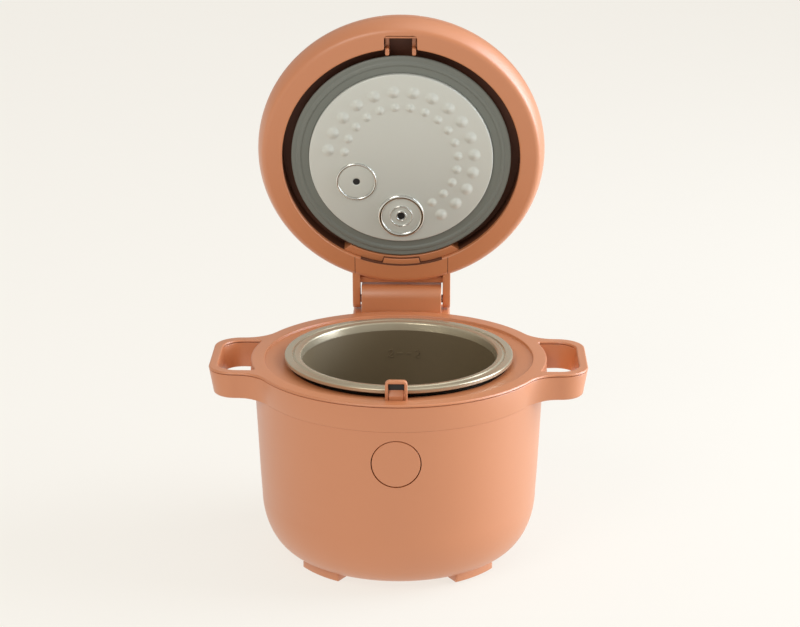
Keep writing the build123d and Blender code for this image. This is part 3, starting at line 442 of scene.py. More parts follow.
def plain_wall(low, high, radius_low, radius_high, shrink=(0.0, 0.0)):
    """Wall with rounded ends between two heights, drawn in by shrink at the low and the high end."""
    return list(map(tuple, np.vstack([quarter(radius_low, True, low, shrink=shrink[0]),
                                      quarter(radius_high, False, high, shrink=shrink[1])])))


def ring_loop(radius, steps=192, hole=False, centre=(0, 0)):
    """Circle as a loop, anticlockwise, or clockwise for a hole."""
    t = np.linspace(0, 2 * np.pi, steps, endpoint=False) * (-1 if hole else 1)
    return np.column_stack([centre[0] + radius * np.cos(t), centre[1] + radius * np.sin(t)])


def along_x(shape):
    """Turns a slab's (u, v, w) into (y, z, x), so that it reaches along X."""
    return shape[0][:, [2, 0, 1]], shape[1]


def along_y(shape):
    """Turns a slab's (u, v, w) into (z, x, y): u is height, v goes right and w goes back."""
    return shape[0][:, [1, 2, 0]], shape[1]


def opened(shape):
    """A piece drawn on the closed lid, turned back about the hinge pin by the lid's rest angle."""
    p = shape[0].copy()
    dy, dz = p[:, 1] - PIVOT[0], p[:, 2] - PIVOT[1]
    c, s = np.cos(-OPEN), np.sin(-OPEN)
    p[:, 1], p[:, 2] = PIVOT[0] + dy * c - dz * s, PIVOT[1] + dy * s + dz * c
    return p, shape[1]


def arc(centre_u, centre_v, radius, start, end, steps=10):
    """Points of an arc in a profile, angles in degrees."""
    a = np.radians(np.linspace(start, end, steps))
    return np.column_stack([centre_u + radius * np.cos(a), centre_v + radius * np.sin(a)])


print("tools ready")

# %% [markdown]
# ## Rim and handles
#
# The rim and the tops of both handles are one moulding, and the band under it carries the handle loops.
# Seen from above both have the same outline: a circle with two rounded loops that run into it through
# hollow curves. The outline is drawn once, and each moulding climbs it with its own edge radii. The
# handle's underside has a full radius for the hand, while the seam on the casing stays crisp, so the radius
# changes along the outline.


# %% Outline of the rim with its two loops
RIM_R = 105.0
HANDLE = {"x": 132.4, "y": 40.0, "corner": 19.0, "hollow": 25.0, "bar": 6.3, "side": 7.0}


def rim_outline():
    """Half the outline is a hollow arc, a corner, a corner, a hollow arc and the rim's circle. The other
    half is the same turned by 180 degrees."""
    h = HANDLE
    centre_y = h["y"] + h["hollow"]
    centre_x = np.sqrt((RIM_R + h["hollow"]) ** 2 - centre_y ** 2)
    slope = np.degrees(np.arctan2(centre_y, centre_x))
    corner_x, corner_y = h["x"] - h["corner"], h["y"] - h["corner"]
    half = np.vstack([
        arc(centre_x, -centre_y, h["hollow"], 180 - slope, 90, 14),
        arc(corner_x, -corner_y, h["corner"], -90, 0, 16),
        arc(corner_x, corner_y, h["corner"], 0, 90, 16),
        arc(centre_x, centre_y, h["hollow"], 270, 180 + slope, 14),
        arc(0, 0, RIM_R, slope, 180 - slope, 90)[1:-1]])
    return np.vstack([half, -half])


def finger_hole(side):
    """Opening between the casing and a grip bar, clockwise, on the right (1) or the left (-1)."""
    outer, half_y, wall = HANDLE["x"] - HANDLE["bar"], HANDLE["y"] - HANDLE["side"], RIM_R - 0.5
    lean = np.degrees(np.arcsin(half_y / wall)) - 2.4
    inner = arc(0, 0, wall, lean, -lean, 24)
    meet = np.sqrt(wall ** 2 - half_y ** 2)
    corners = [(outer, -half_y, 14), (outer, half_y, 14), (meet, half_y, 2.0)]
    corners += [(u, v, 0) for u, v in inner] + [(meet, -half_y, 2.0)]
    loop = rounded(corners, 10)[::-1]
    return loop * side


OUTLINE = rim_outline()
HOLES = [finger_hole(1), finger_hole(-1)]
print("outline points:", len(OUTLINE), "hole points:", len(HOLES[0]))

# %% Top ring with its crisp inner edge and the funnel
FLAT_R = 98.0
funnel = rounded([(FLAT_R, -1.5, 0), (95.6, -2.4, 0.3), (78.2, -6.4, 0.4), (76.8, -5.6, 0.6),
                  (77.4, -3.9, 1.2), (94.4, -1.7, 0.3), (94.8, 0.0, 0.6), (FLAT_R, 0.0, 0)], 8, closed=False)
ring_walls = [plain_wall(RIM - 1.5, RIM, 0.25, 1.0, (0, 0.1))] * 3
ring_walls.append([(FLAT_R - r, RIM + z) for r, z in funnel])
piece("rim_top", "base", ["top_ring"], "casing_plastic",
      *slab([OUTLINE, *HOLES, ring_loop(FLAT_R, 240, hole=True)], ring_walls))


# %% Collar with the handle loops
SEAM = RIM - 20.1


def handle_share(loop):
    """0 on the casing's circle, 1 out on a handle, smooth between."""
    t = np.clip((np.hypot(*loop.T) - RIM_R - 0.5) / 9.0, 0, 1)
    return t * t * (3 - 2 * t)


def collar_wall(loop, drawn_in, full):
    """Wall that is drawn in by 0.3 at the top and by drawn_in at the bottom, with a radius of 0.1 at the
    casing's seam and of full under the handles."""
    radius = 0.1 + (full - 0.1) * handle_share(loop)
    a = np.linspace(0, np.pi / 2, 7)
    low = [(-radius - drawn_in - 0.25, SEAM)]
    low += [(-radius * (1 - np.sin(t)) - drawn_in, SEAM + radius * (1 - np.cos(t))) for t in a]
    return low + list(map(tuple, quarter(0.4, False, RIM - 2.0, shrink=0.3)))


collar_walls = [collar_wall(OUTLINE, 3.0, 2.0)] + [collar_wall(hole, -0.8, 1.2) for hole in HOLES]
collar_walls.append([(0.0, SEAM), (0.0, RIM - 2.0)])
piece("handle_collar", "base", ["collar"], "casing_plastic",
      *slab([OUTLINE, *HOLES, ring_loop(98.5, 240, hole=True)], collar_walls))


# %% Feet: four arc blocks under the casing
def foot_block(middle, half=13.1, inner=66.9, outer=79.75):
    """Arc-shaped foot about an angle in degrees: its four corners have a radius of 1.6, and its lower edge
    is rounded too."""
    bow = arc(0, 0, outer, middle - half, middle + half, 20)
    back = arc(0, 0, inner, middle + half, middle - half, 16)
    corners = np.column_stack([np.vstack([bow, back]), np.zeros(len(bow) + len(back))])
    corners[[0, len(bow) - 1, len(bow), -1], 2] = 1.6
    return slab([rounded(corners, 6)], [plain_wall(0.9, 7.0, 1.3, 0.1)])


piece("foot_blocks", "base", [], "casing_plastic", *together(*[foot_block(m) for m in (46, 134, 226, 314)]))

# %% [markdown]
# ## Pot
#
# The pot is drawn from one sheet, so it is one profile turned about the axis. Its lip is bare bright metal
# with a shallow groove, and the inside has a dark non-stick coat. The coat ends just inside the lip, so the
# finish changes at a height.


# %% Pot with a bright lip and a coated inside
LIP_TOP = RIM + 2.75
COAT_END = RIM - 2.2
WALL_R, WALL_TOP = 68.3, RIM - 3.5          # top of the inner wall
FLOOR_R, FLOOR_TOP = 66.9, RIM - 92.7       # where the inner wall would meet the floor
pot_profile = rounded([
    (0.0, RIM - 94.5, 0), (68.7, RIM - 94.5, 20), (70.1, RIM - 6.0, 1.5), (78.6, RIM - 0.6, 3),
    (79.6, LIP_TOP - 3.4, 0.3), (80.6, LIP_TOP - 3.0, 0.4), (80.6, LIP_TOP, 1.1), (75.4, LIP_TOP, 0.5),
    (74.5, LIP_TOP - 1.0, 0.5), (73.3, LIP_TOP, 0.6), (69.4, LIP_TOP - 0.5, 1.6), (WALL_R, WALL_TOP, 3),
    (FLOOR_R, FLOOR_TOP, 18.2), (0.0, FLOOR_TOP, 0)], 12, closed=False)
pot = piece("cooking_pot", "pot", ["pot"], "pot_metal", *turned(pot_profile, 256, closed=False), sharp=60)
for name in ("pot_lip", "pot_outside"):
    pot.data.materials.append(MATERIALS[name])
middle = np.array([p.center for p in pot.data.polygons])
facing = np.array([p.normal for p in pot.data.polygons])
bare = middle[:, 2] > COAT_END * MM
outward = ((facing[:, :2] * middle[:, :2]).sum(1) > 0) | (facing[:, 2] < -0.5)
pot.data.polygons.foreach_set("material_index", np.where(bare, 1, np.where(outward, 2, 0)).astype(np.int32))
pot.data.update()


# %% Water level marks raised on the pot's back wall
def raised_stroke(path, width=0.95, proud=0.6):
    """Raised line on the inside of the pot's back wall. The path is (across, height), the line's section is
    a low trapezium, and (u, z) lies at (r sin(u / r), r cos(u / r), z) with r the wall's radius less the
    rise."""
    along = np.gradient(path, axis=0)
    along /= np.linalg.norm(along, axis=1, keepdims=True)
    left = np.column_stack([-along[:, 1], along[:, 0]])
    rows = []
    for side, rise in ((1.0, -0.3), (0.6, proud), (-0.6, proud), (-1.0, -0.3)):
        u, z = (path + left * side * width / 2).T
        r = WALL_R - (WALL_TOP - z) * (WALL_R - FLOOR_R) / (WALL_TOP - FLOOR_TOP) - rise
        rows.append(np.column_stack([r * np.sin(u / r), r * np.cos(u / r), z]))
    return square_strip(rows)


def digit_two(u, z):
    """The numeral 2 as a stroke: a bow of 1.6 mm radius, a slant and a foot."""
    corners = [(*p, 0) for p in arc(u, z + 1.1, 1.6, 165, -25, 9)]
    corners += [(u - 1.7, z - 2.7, 0.2), (u + 1.8, z - 2.7, 0)]
    return raised_stroke(rounded(corners, 4, closed=False))


def dash(u, z, half=2.1):
    """Short level line at a height."""
    return raised_stroke(np.column_stack([np.linspace(u - half, u + half, 6), np.full(6, z)]))


MARK = RIM - 21.0
piece("level_marks", "pot", [], "pot_metal", *together(
    digit_two(-7.0, MARK), dash(-0.6, MARK), dash(6.0, MARK), digit_two(12.4, MARK)), sharp=20)

# %% [markdown]
# ## Inner lid
#
# The inner lid is a stainless plate in a grey silicone ring. The plate's two rows of dimples are shallow
# round bosses pressed towards the pot. They could be a displacement texture, but a polar grid with the
# bumps worked out at each point gives real geometry, and the rows can be as crisp as the press tool made
# them.

# %% Plate: a polar grid with 32 dimples
PLATE_R = 67.1
PLATE = LID + 0.7
BALL_R, BALL_TURN = 37.2, np.radians(208.5)
BALL = (BALL_R * np.cos(BALL_TURN), -BALL_R * np.sin(BALL_TURN))
STEAM = (0.0, 45.6)
DIMPLES, PITCH, FIRST = 16, 15.25, 172.0               # in each row, with the angles in degrees
DIMPLE_ROWS = ((53.4, 4.7, 1.7), (41.5, 3.5, 1.4))     # radius of the row, radius and rise of its dimples


def dimple_places():
    """Centre x, centre y, radius and rise of every dimple, as four columns."""
    turn = np.radians(FIRST - PITCH * np.arange(DIMPLES))
    rows = [np.column_stack([row * np.cos(turn), -row * np.sin(turn), np.full((DIMPLES, 2), (radius, rise))])
            for row, radius, rise in DIMPLE_ROWS]
    return np.vstack(rows)


def pressed(x, y):
    """How far the plate is pressed out at (x, y): each dimple rises by a smooth bell of its distance."""
    across, back, radius, rise = dimple_places().T
    far = np.hypot(x[..., None] - across, y[..., None] - back) / radius
    bell = np.clip(1 - far ** 2, 0, 1) ** 1.5
    return (bell * rise).sum(-1)


def polar_plate():
    """Disc of rings and spokes with an upturned rim, pushed towards the pot by the dimples."""
    spans = ((0.0, 36.0, 25), (36.5, 59.0, 76), (59.5, PLATE_R - 1.0, 12))
    r = np.concatenate([np.linspace(*span) for span in spans])[:, None]
    t = np.linspace(0, 2 * np.pi, 420, endpoint=False)[None, :]
    x, y = r * np.cos(t), r * np.sin(t)
    z = PLATE - pressed(x, y)
    face = np.stack([x, y, z], axis=-1)
    edge = np.vstack([arc(PLATE_R - 1.0, PLATE + 1.0, 1.0, -90, 0, 6)[1:], [[PLATE_R, PLATE + 4.5]],
                      [[PLATE_R - 0.6, PLATE + 4.5]], [[PLATE_R - 0.6, PLATE + 1.2]], [[0, PLATE + 1.2]]])
    er, ez = edge[:, :1], edge[:, 1:]
    wall = np.stack([er * np.cos(t), er * np.sin(t), ez + 0 * t], axis=-1)
    both = np.vstack([face, wall])
    return both.reshape(-1, 3), grid_faces(len(both), both.shape[1], True)


piece("dimpled_plate", "inner_lid", ["inner_lid_plate"], "stainless", *opened(polar_plate()), sharp=50)

# %% Silicone ring with its sealing bead
silicone = rounded([(67.4, LID + 3.2, 0.2), (72.4, LID + 3.3, 1.2), (73.6, LID + 2.5, 0.7),
                    (75.2, LID + 2.5, 0.7), (76.3, LID + 3.3, 1.2), (79.0, LID + 2.9, 1.0),
                    (80.1, LID + 3.7, 0.5), (80.1, LID + 5.2, 0.2), (67.4, LID + 5.2, 0.2)], 7)
piece("silicone_ring", "inner_lid", ["lid_gasket"], "grey_silicone", *opened(turned(silicone, 256)), sharp=70)
carrier = rounded([(62.0, LID + 5.4, 0.2), (78.6, LID + 5.4, 0.2), (79.0, LID + 8.0, 0.8),
                   (62.0, LID + 8.0, 0.3)], 5)
piece("plate_carrier", "inner_lid", ["inner_lid_ring"], "black_plastic", *opened(turned(carrier, 192)))

# %% Ball valve and steam port, turned about their own axes
valve = rounded([(2.6, LID + 0.1, 0.35), (3.6, LID - 0.05, 0.3), (12.6, LID - 0.05, 0.4),
                 (13.4, LID + 0.45, 0.4), (13.9, LID - 0.3, 0.6), (15.1, LID - 0.1, 0.5),
                 (15.1, LID + 0.8, 0.2), (14.0, LID + 0.8, 0.1), (14.0, LID + 8.0, 0.4),
                 (10.0, LID + 8.0, 0.2), (10.0, LID + 9.2, 0.4), (0.0, LID + 9.2, 0), (0.0, LID + 8.6, 0),
                 (3.6, LID + 8.6, 0.2), (3.6, LID + 1.5, 0.2), (2.6, LID + 1.5, 0.1)], 6)
piece("ball_valve", "inner_lid", ["ball_valve_body"], "stainless",
      *opened(turned(valve, 96, BALL)), sharp=45)
port = rounded([(2.8, LID - 0.2, 0.3), (3.9, LID - 0.6, 0.3), (4.6, LID + 0.1, 0.4), (7.3, LID + 0.1, 0.4),
                (8.1, LID - 0.6, 0.3), (8.9, LID - 0.1, 0.6), (14.6, LID + 0.3, 1.5),
                (16.2, LID - 0.55, 0.8), (17.4, LID + 0.5, 0.3), (17.4, LID + 0.9, 0.1),
                (16.3, LID + 0.9, 0.1), (16.3, LID + 8.0, 0.4), (9.0, LID + 8.0, 0.4),
                (9.0, LID + 3.0, 0.3), (2.8, LID + 1.6, 0.3)], 6)
piece("steam_way", "inner_lid", ["steam_port"], "stainless", *opened(turned(port, 96, STEAM)), sharp=45)


# %% Bright beads round the valves, and black discs of painted shade in the mouths of their holes
def bright_bead(inner, outer, low, high, centre):
    """Half-round bead about a centre, standing from high down to low."""
    middle, radius = (inner + outer) / 2, (outer - inner) / 2
    t = np.radians(np.linspace(180, 360, 15))
    section = np.column_stack([middle + radius * np.cos(t), high + (high - low) * np.sin(t)])
    return turned(section, 96, centre)


def painted_shade_disc(radius, centre):
    """Black disc of painted shade in the mouth of a hole, a little behind its edge."""
    low, high = LID + 0.2, LID + 0.6
    return turned([(0.0, low), (radius, low), (radius, high), (0.0, high)], 48, centre, closed=False)


beads = together(bright_bead(13.0, 15.1, LID - 0.75, LID + 0.3, BALL),
                 bright_bead(13.9, 17.3, LID - 1.1, LID + 0.4, STEAM),
                 bright_bead(7.4, 8.6, LID - 0.85, LID + 0.1, STEAM),
                 bright_bead(2.9, 4.2, LID - 0.9, LID, STEAM))
bright = piece("valve_beads", "inner_lid", [], "stainless", *opened(beads), sharp=45)
bright.data.materials[0] = MATERIALS["chrome"]
hole_shade_discs = together(painted_shade_disc(2.78, STEAM), painted_shade_disc(2.58, BALL))
piece("valve_hole_painted_shade", "inner_lid", [], "black_plastic", *opened(hole_shade_discs))

# %% [markdown]
# ## Lid frame
#
# The underside of the lid is a flat ring that rolls over into the lid's side. Its mouth is a circle with a
# notch at the front for the latch. The mouth's wall drops into a deep tray, so the ring and the tray
# are two pieces: the tray's dark brown is painted shade.

# %% Mouth outline and side profile
MOUTH_R, NOTCH_HALF, NOTCH_OUT, CORNER = 86.7, 11.7, 96.9, 4.5
SIDE_R, BELLY, LID_R = 28.0, 15.6, 105.0
LEAN, RING_DEEP, TRAY_DEEP = 3.2, 15.0, 14.8    # the notch leans outwards as it gets deeper
reach, drop = SIDE_R - CORNER, BELLY - CORNER
corner_r = LID_R - SIDE_R + np.sqrt(reach ** 2 - drop ** 2)
meet = np.degrees(np.arctan2(drop, corner_r - (LID_R - SIDE_R)))
side_profile = np.vstack([
    [[corner_r - 0.01, 0.0]], arc(corner_r, CORNER, CORNER, -90, -meet, 10),
    arc(LID_R - SIDE_R, BELLY, SIDE_R, -meet, 0, 14)[1:], [[LID_R - 0.25, BELLY + 0.15]]])


def mouth_outline(out=NOTCH_OUT, half=NOTCH_HALF, corner=2.5, lead=1.6):
    """Circle of the mouth with a square notch at the front, clockwise as a hole."""
    a = np.degrees(np.arcsin(half / MOUTH_R))
    start = np.sqrt(MOUTH_R ** 2 - half ** 2)
    ring = arc(0, 0, MOUTH_R, -90 + a + 1.6, 270 - a - 1.6, 200)
    corners = [(half, -start, lead)] + [(u, v, 0) for u, v in ring]
    corners += [(-half, -start, lead), (-half, -out, corner), (half, -out, corner)]
    return rounded(corners, 8)[::-1]


MOUTH = mouth_outline()
in_notch = np.clip((-MOUTH[:, 1] - 88.0) / 5.0, 0, 1) * (np.abs(MOUTH[:, 0]) < NOTCH_HALF + 0.5)
crisp = 1.0 - 0.8 * in_notch        # radius of the mouth's edge, smaller in the notch
mouth_wall = [(-crisp * 1.15, LID)]
mouth_wall += [(-crisp * (1 - np.sin(t)), LID + crisp * (1 - np.cos(t)))
               for t in np.linspace(0, np.pi / 2, 6)]
mouth_wall += [(-in_notch * 2.2, LID + 2.6), (-in_notch * LEAN, LID + 5.0),
               (-in_notch * LEAN, LID + RING_DEEP)]
side_wall = [(r - corner_r, LID + h) for r, h in side_profile]
EDGE_LOOP = ring_loop(corner_r, 288)
low_cap = cap([EDGE_LOOP, moved_out(MOUTH, mouth_wall[0][0])], LID, False)
frame_ring = together(
    slab([EDGE_LOOP], [side_wall], ends=(False, True)),
    slab([MOUTH], [mouth_wall], ends=(False, False)), low_cap,
    cap([moved_out(MOUTH, mouth_wall[-1][0])[::-1]], LID + RING_DEEP, False))
piece("lid_ring", "lid", ["lid_frame"], "casing_plastic", *opened(frame_ring), sharp=35)

# %% Tray: the deep recess behind the mouth, dark with painted shade
tray_loop = moved_out(MOUTH, 0.12)
tray = together(slab([tray_loop], [[(-0.1 - in_notch * 2.4, LID + 3.4), (-in_notch * 2.4, LID + 3.5),
                                    (-in_notch * LEAN, LID + 5.0), (-in_notch * LEAN, LID + TRAY_DEEP)]],
                     ends=(False, False)),
                cap([moved_out(tray_loop, -in_notch * LEAN)[::-1]], LID + TRAY_DEEP, False))
# The tray's dark brown is painted shade for the deep recess.
tray_piece = piece("lid_tray", "lid", [], "casing_plastic", *opened(tray))
tray_piece.data.materials[0] = MATERIALS["tray_shadow"]
print("mouth points:", len(MOUTH))

# %% Filler at the hinge side and the lip that holds the inner lid
def arc_sector(inner, outer, half, slant=2.0):
    """Part of a ring about the back, half being its half angle in degrees: the inner arc spans a little
    less than the outer one, so its ends slant."""
    wide = arc(0, 0, outer, 90 - half, 90 + half, 40)
    narrow = arc(0, 0, inner, 90 + half - slant, 90 - half + slant, 40)
    return np.vstack([wide, narrow])


filler = slab([arc_sector(80.8, 86.62, 29.5)], [plain_wall(LID + 3.1, LID + 14.5, 0.5, 0.2)])
piece("hinge_side_filler", "lid", [], "casing_plastic", *opened(filler))
tab_half = np.degrees(np.arcsin(13.9 / 85.0))
tab = slab([arc_sector(82.4, 87.8, tab_half, 0.5)], [plain_wall(LID + 0.9, LID + 2.9, 0.4, 0.2)])
piece("inner_lid_lip", "lid", ["inner_lid_tab"], "casing_plastic", *opened(tab))
# Dark strips of painted shade: an outline round the inner lid's tab and a thin line in the gap beside it.
gaps = together(
    slab([arc_sector(81.9, 88.4, tab_half + 0.4, 0.5)], [plain_wall(LID + 1.9, LID + 2.9, 0.1, 0.1)]),
    slab([arc_sector(86.3, 87.3, 20.5, 0.2)], [plain_wall(LID - 0.05, LID + 2.9, 0.1, 0.1)]))
shadow = piece("hinge_side_gap_shade", "lid", [], "casing_plastic", *opened(gaps))
shadow.data.materials[0] = MATERIALS["tray_shadow"]


# %% Seams of the hinge insert, laid into the ring beside the ears as dark strips of painted shade
def seam_strip(x, width=0.45, sunk=0.5, proud=0.03):
    """Dark square-section strip in the plane at x, painted shade for the seam's gap: it follows the ring's
    section, y being the root of r squared less x squared, and stands hardly proud of it."""
    path = np.vstack([[[MOUTH_R + 0.6, 0.0]], side_profile])
    r, h = path[:, 0], path[:, 1]
    y = np.sqrt(r ** 2 - x ** 2)
    along = np.gradient(np.column_stack([y, h]), axis=0)
    along /= np.linalg.norm(along, axis=1, keepdims=True)
    out = np.column_stack([along[:, 1], -along[:, 0]])
    rows = []
    for side, d in ((-1, proud), (1, proud), (1, -sunk), (-1, -sunk)):
        across = np.full(len(y), x + side * width / 2)
        rows.append(np.column_stack([across, y + out[:, 0] * d, LID + h + out[:, 1] * d]))
    return square_strip(rows)


strips = together(seam_strip(34.6), seam_strip(-34.6))
seams = piece("hinge_insert_seams", "lid", [], "casing_plastic", *opened(strips))
seams.data.materials[0] = MATERIALS["tray_shadow"]

# %% [markdown]
# ## Hinge
#
# The tower behind the rim covers the pin, with a round front upper corner, and the two ears of the lid's
# arm hang on the pin beside it. Tower, saddle and ears are outlines seen from the side that reach along X,
# with rounded ends.

# %% Tower and saddle, fixed to the casing
tower = rounded([(105.6, RIM - 14, 0.3), (130.4, RIM - 14, 0.3), (130.4, PIVOT[1] + 12.2, 5.0),
                 (105.6, PIVOT[1] + 12.2, 9.0)], 26)
saddle = rounded([(96.0, RIM - 51.0, 0.5), (102.9, RIM - 51.9, 1.0), (130.6, RIM - 18.0, 16),
                  (130.6, RIM - 1.9, 2.6), (96.0, RIM - 1.9, 0.3)], 12)
piece("hinge_tower", "base", ["hinge_housing"], "casing_plastic",
      *together(along_x(slab([tower], [plain_wall(-29.9, 29.9, 0.7, 0.7)])),
                along_x(slab([saddle], [plain_wall(-36.5, 36.5, 2.4, 2.4)]))), sharp=30)

# %% Ears of the lid's arm, the bar that joins them in the lid and the skirt over the tower
EAR_IN, EAR_OUT = 30.95, 36.65
ear = rounded([(91.0, LID + 1.0, 0.8), (125.0, PIVOT[1] - 7.2, 6.8), (125.0, PIVOT[1] + 7.3, 6.8),
               (91.0, LID + 13.0, 0.8)], 14)
bar = rounded([(91.0, LID + 3.0, 0.4), (94.0, LID + 3.0, 0.4), (94.0, LID + 13.0, 0.4),
               (91.0, LID + 13.0, 0.4)], 4)
skirt = rounded([(99.0, LID + 4.0, 0.4), (104.0, LID + 4.0, 0.8), (104.0, LID + 15.0, 0.8),
                 (99.0, LID + 15.0, 0.4)], 6)
arm = together(along_x(slab([ear], [plain_wall(EAR_IN, EAR_OUT, 0.6, 0.6)])),
               along_x(slab([ear], [plain_wall(-EAR_OUT, -EAR_IN, 0.6, 0.6)])),
               along_x(slab([bar], [plain_wall(-31.5, 31.5, 0.2, 0.2)])),
               along_x(slab([skirt], [plain_wall(-31.2, 31.2, 0.2, 0.2)])))
piece("lid_hinge_ears", "lid", ["lid_hinge_arm"], "casing_plastic", *opened(arm), sharp=30)

# %% [markdown]
# ## Latch, catch and start button
#
# The latch lever is one moulding: a bar in the notch, two legs with raised ends, a neck, and the release
# button, which is a piece of the lid's own dome. The start button is in the same way a piece of the
# casing's wall. Both are a grid that follows the big surface and drops round a small radius at its border.


# %% A patch of a big surface with rounded borders
def rolled_edge(distance, radius):
    """Drop of a rounded border: radius less the height of a quarter circle, at a distance from the edge."""
    t = np.clip(1 - distance / radius, 0, 1)
    return radius * (1 - np.sqrt(1 - t ** 2))


def dome_radius(h, shoulder=24.0):
    """Radius of the lid at height h, where its shoulder is an arc whose centre lies at the belly's height."""
    return LID_R - shoulder + np.sqrt(shoulder ** 2 - (h - BELLY) ** 2)


def release_button(half=14.0, low=21.8, high=33.2, thick=2.6, radius=0.7):
    """Piece of the dome at the lid's front between two heights, closed by its own inner side."""
    spread = np.concatenate([np.linspace(0, 1, 7) ** 2 * radius, np.linspace(radius, half, 14)[1:]])
    x = np.concatenate([-half + spread, (half - spread)[::-1][1:]])
    between = np.linspace(low + radius, high - radius, 12)[1:-1]
    x, h = np.meshgrid(x, np.concatenate([low + spread[:7], between, high - spread[:7][::-1]]))
    drop = rolled_edge(np.minimum(half - np.abs(x), np.minimum(h - low, high - h)), radius)
    front = np.stack([x, -np.sqrt((dome_radius(h) - drop) ** 2 - x ** 2), LID + h], axis=-1)
    back = np.stack([x, -np.sqrt((dome_radius(h) - thick) ** 2 - x ** 2), LID + h], axis=-1)
    number = np.arange(x.size).reshape(x.shape)
    border = np.concatenate([number[0], number[1:, -1], number[-1, -2::-1], number[-2:0:-1, 0]])
    ahead = np.roll(border, -1)
    side = np.stack([border, ahead, ahead + x.size, border + x.size], -1)
    faces = grid_faces(*x.shape, False)
    faces += [[i + x.size for i in f[::-1]] for f in faces] + side.tolist()
    return np.vstack([front.reshape(-1, 3), back.reshape(-1, 3)]), faces


def box_slab(x, y, h, radius=0.4, corner=0.6):
    """Rounded block between two x, two y and two heights on the closed lid."""
    outline = rounded([(x[0], y[0], corner), (x[1], y[0], corner), (x[1], y[1], corner),
                       (x[0], y[1], corner)], 5)
    return slab([outline], [plain_wall(LID + h[0], LID + h[1], radius, radius)])


# %% Latch lever
latch_parts = [box_slab((-11.1, 11.1), (-96.6, -95.0), (2.6, 12.4), 0.3, 0.5),
               box_slab((-6.0, 6.0), (-97.0, -94.9), (12.0, 24.0), 0.2, 0.4),
               box_slab((-4.6, 4.6), (-95.4, -93.6), (6.8, 9.8), 0.3, 0.4),
               box_slab((-6.0, 6.0), (-101.0, -95.0), (22.0, 25.0), 0.3, 0.4), release_button()]
for side in (-1, 1):
    leg = sorted((side * 8.1, side * 11.1))
    latch_parts.append(box_slab(leg, (-86.4, -80.7), (2.7, 10.6), 0.7, 1.1))
    latch_parts.append(box_slab(leg, (-95.6, -85.6), (8.0, 10.8), 0.3, 0.3))
piece("latch", "latch", ["latch_lever"], "casing_plastic", *opened(together(*latch_parts)), sharp=40)

# %% Narrow lip across the notch, a part of the lid's ring: the lever swings past behind it
notch_lip = box_slab((-11.9, 11.9), (-96.3, -94.9), (0.5, 2.0), 0.35, 0.4)
piece("notch_lip", "lid", [], "casing_plastic", *opened(notch_lip), sharp=40)

# %% Catch post on the rim
ROOT, ARCH_TOP, ARCH_UNDER = RIM - 2.3, RIM + 13.4, RIM + 11.2
arch = rounded([(ROOT, -7.5, 0.05), (ARCH_TOP, -7.5, 2.8), (ARCH_TOP, 7.5, 2.8), (ROOT, 7.5, 0.05),
                (ROOT, 5.4, 0.05), (ARCH_UNDER, 5.4, 0.6), (ARCH_UNDER, -5.4, 0.6), (ROOT, -5.4, 0.05)], 8)
ramp = rounded([(-93.9, ROOT, 0.05), (-85.0, ROOT, 0.05), (-85.0, RIM + 6.2, 0.8), (-90.9, RIM + 6.2, 0.9),
                (-93.9, RIM + 2.6, 0.7)], 8)
step = rounded([(-92.1, ROOT, 0.05), (-85.0, ROOT, 0.05), (-85.0, RIM + 1.4, 0.6),
                (-92.1, RIM + 1.4, 0.6)], 5)
piece("catch", "base", ["catch_post"], "casing_plastic",
      *together(along_y(slab([arch], [plain_wall(-94.5, -90.5, 0.7, 0.5)])),
                along_x(slab([ramp], [plain_wall(-5.0, 5.0, 0.5, 0.5)])),
                along_x(slab([step], [plain_wall(-7.5, 7.5, 0.5, 0.5)]))), sharp=30)
# The black plate behind the arch's window is painted shade for the slot.
window = rounded([(RIM + 5.6, -5.6, 0.1), (RIM + 11.6, -5.6, 0.1), (RIM + 11.6, 5.6, 0.1),
                  (RIM + 5.6, 5.6, 0.1)], 3)
piece("catch_shade", "base", [], "black_plastic",
      *along_y(slab([window], [plain_wall(-91.0, -90.7, 0.05, 0.05)])))


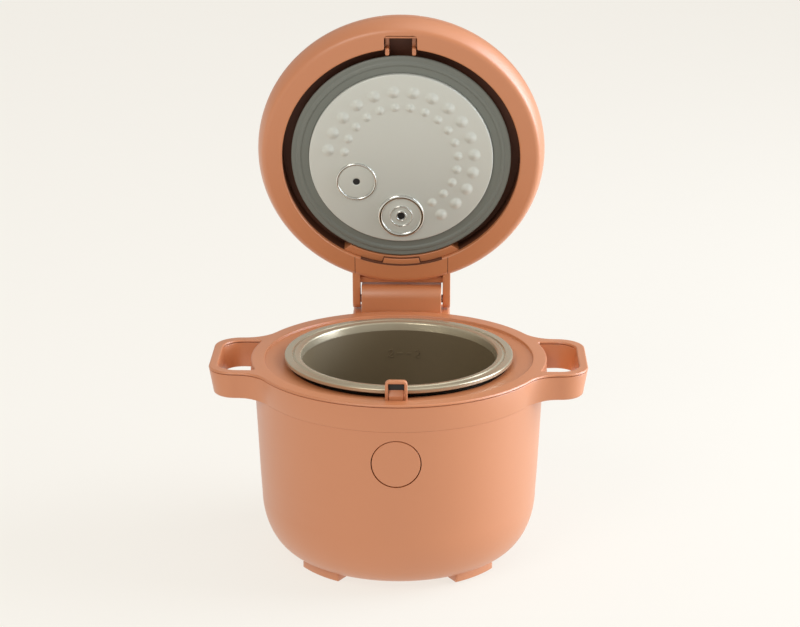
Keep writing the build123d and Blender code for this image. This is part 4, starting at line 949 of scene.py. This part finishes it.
# %% Start button
SPOKES = 128


def casing_radius(z):
    """Radius of the casing's wall at a height, between the section's corners."""
    return np.interp(z, [RIM - 98.6, RIM - 80.5, RIM - 36.0, RIM - 20.2], [97.9, 99.0, 101.0, 101.9])


def wall_disc(radius, height, roll, back_y):
    """Round cap on the front wall at a height: rings about its centre, each point on the wall's radius at
    its own height, then a side wall that goes straight in to the flat back at back_y."""
    flat = np.linspace(0, radius - roll, 14)
    bend = radius - roll * (1 - np.linspace(0, 1, 7)[1:] ** 0.6)
    spokes = np.linspace(0, 2 * np.pi, SPOKES, endpoint=False)
    rho, t = np.meshgrid(np.concatenate([flat, bend]), spokes, indexing="ij")
    x, z = rho * np.cos(t), height + rho * np.sin(t)
    y = -np.sqrt((casing_radius(z) - rolled_edge(radius - rho, roll)) ** 2 - x ** 2)
    face = np.stack([x, y, z], axis=-1)
    back = np.stack([x[-1], np.full(SPOKES, back_y), z[-1]], axis=-1)
    middle = np.broadcast_to([0.0, back_y, height], (SPOKES, 3))
    points = np.vstack([face, back[None], middle[None]])
    return points.reshape(-1, 3), grid_faces(len(points), SPOKES, True)


disc = wall_disc(16.5, RIM - 43.5, 0.55, -93.2)
piece("start_disc", "button", ["start_button"], "casing_plastic", *disc, sharp=40)

# %% [markdown]
# ## Floor and end
#
# The floor is one large pale plane at the table's height, with a faint glow of its own, as paper has under
# strong light.

# %% Floor
floor_mesh = bpy.data.meshes.new("floor")
floor_mesh.from_pydata([(-6, -6, 0), (6, -6, 0), (6, 6, 0), (-6, 6, 0)], [], [(0, 1, 2, 3)])
floor = bpy.data.objects.new("floor", floor_mesh)
bpy.context.scene.collection.objects.link(floor)
paper = finish("floor_paper", (110, 108, 104), (109, 107, 103), 0.9, depth=0.0)
glow = paper.node_tree.nodes["Principled BSDF"]
glow.inputs["Emission Color"].default_value = linear(247, 243, 235)
glow.inputs["Emission Strength"].default_value = 0.82
floor_mesh.materials.append(paper)
bpy.context.scene.view_settings.view_transform = "Standard"
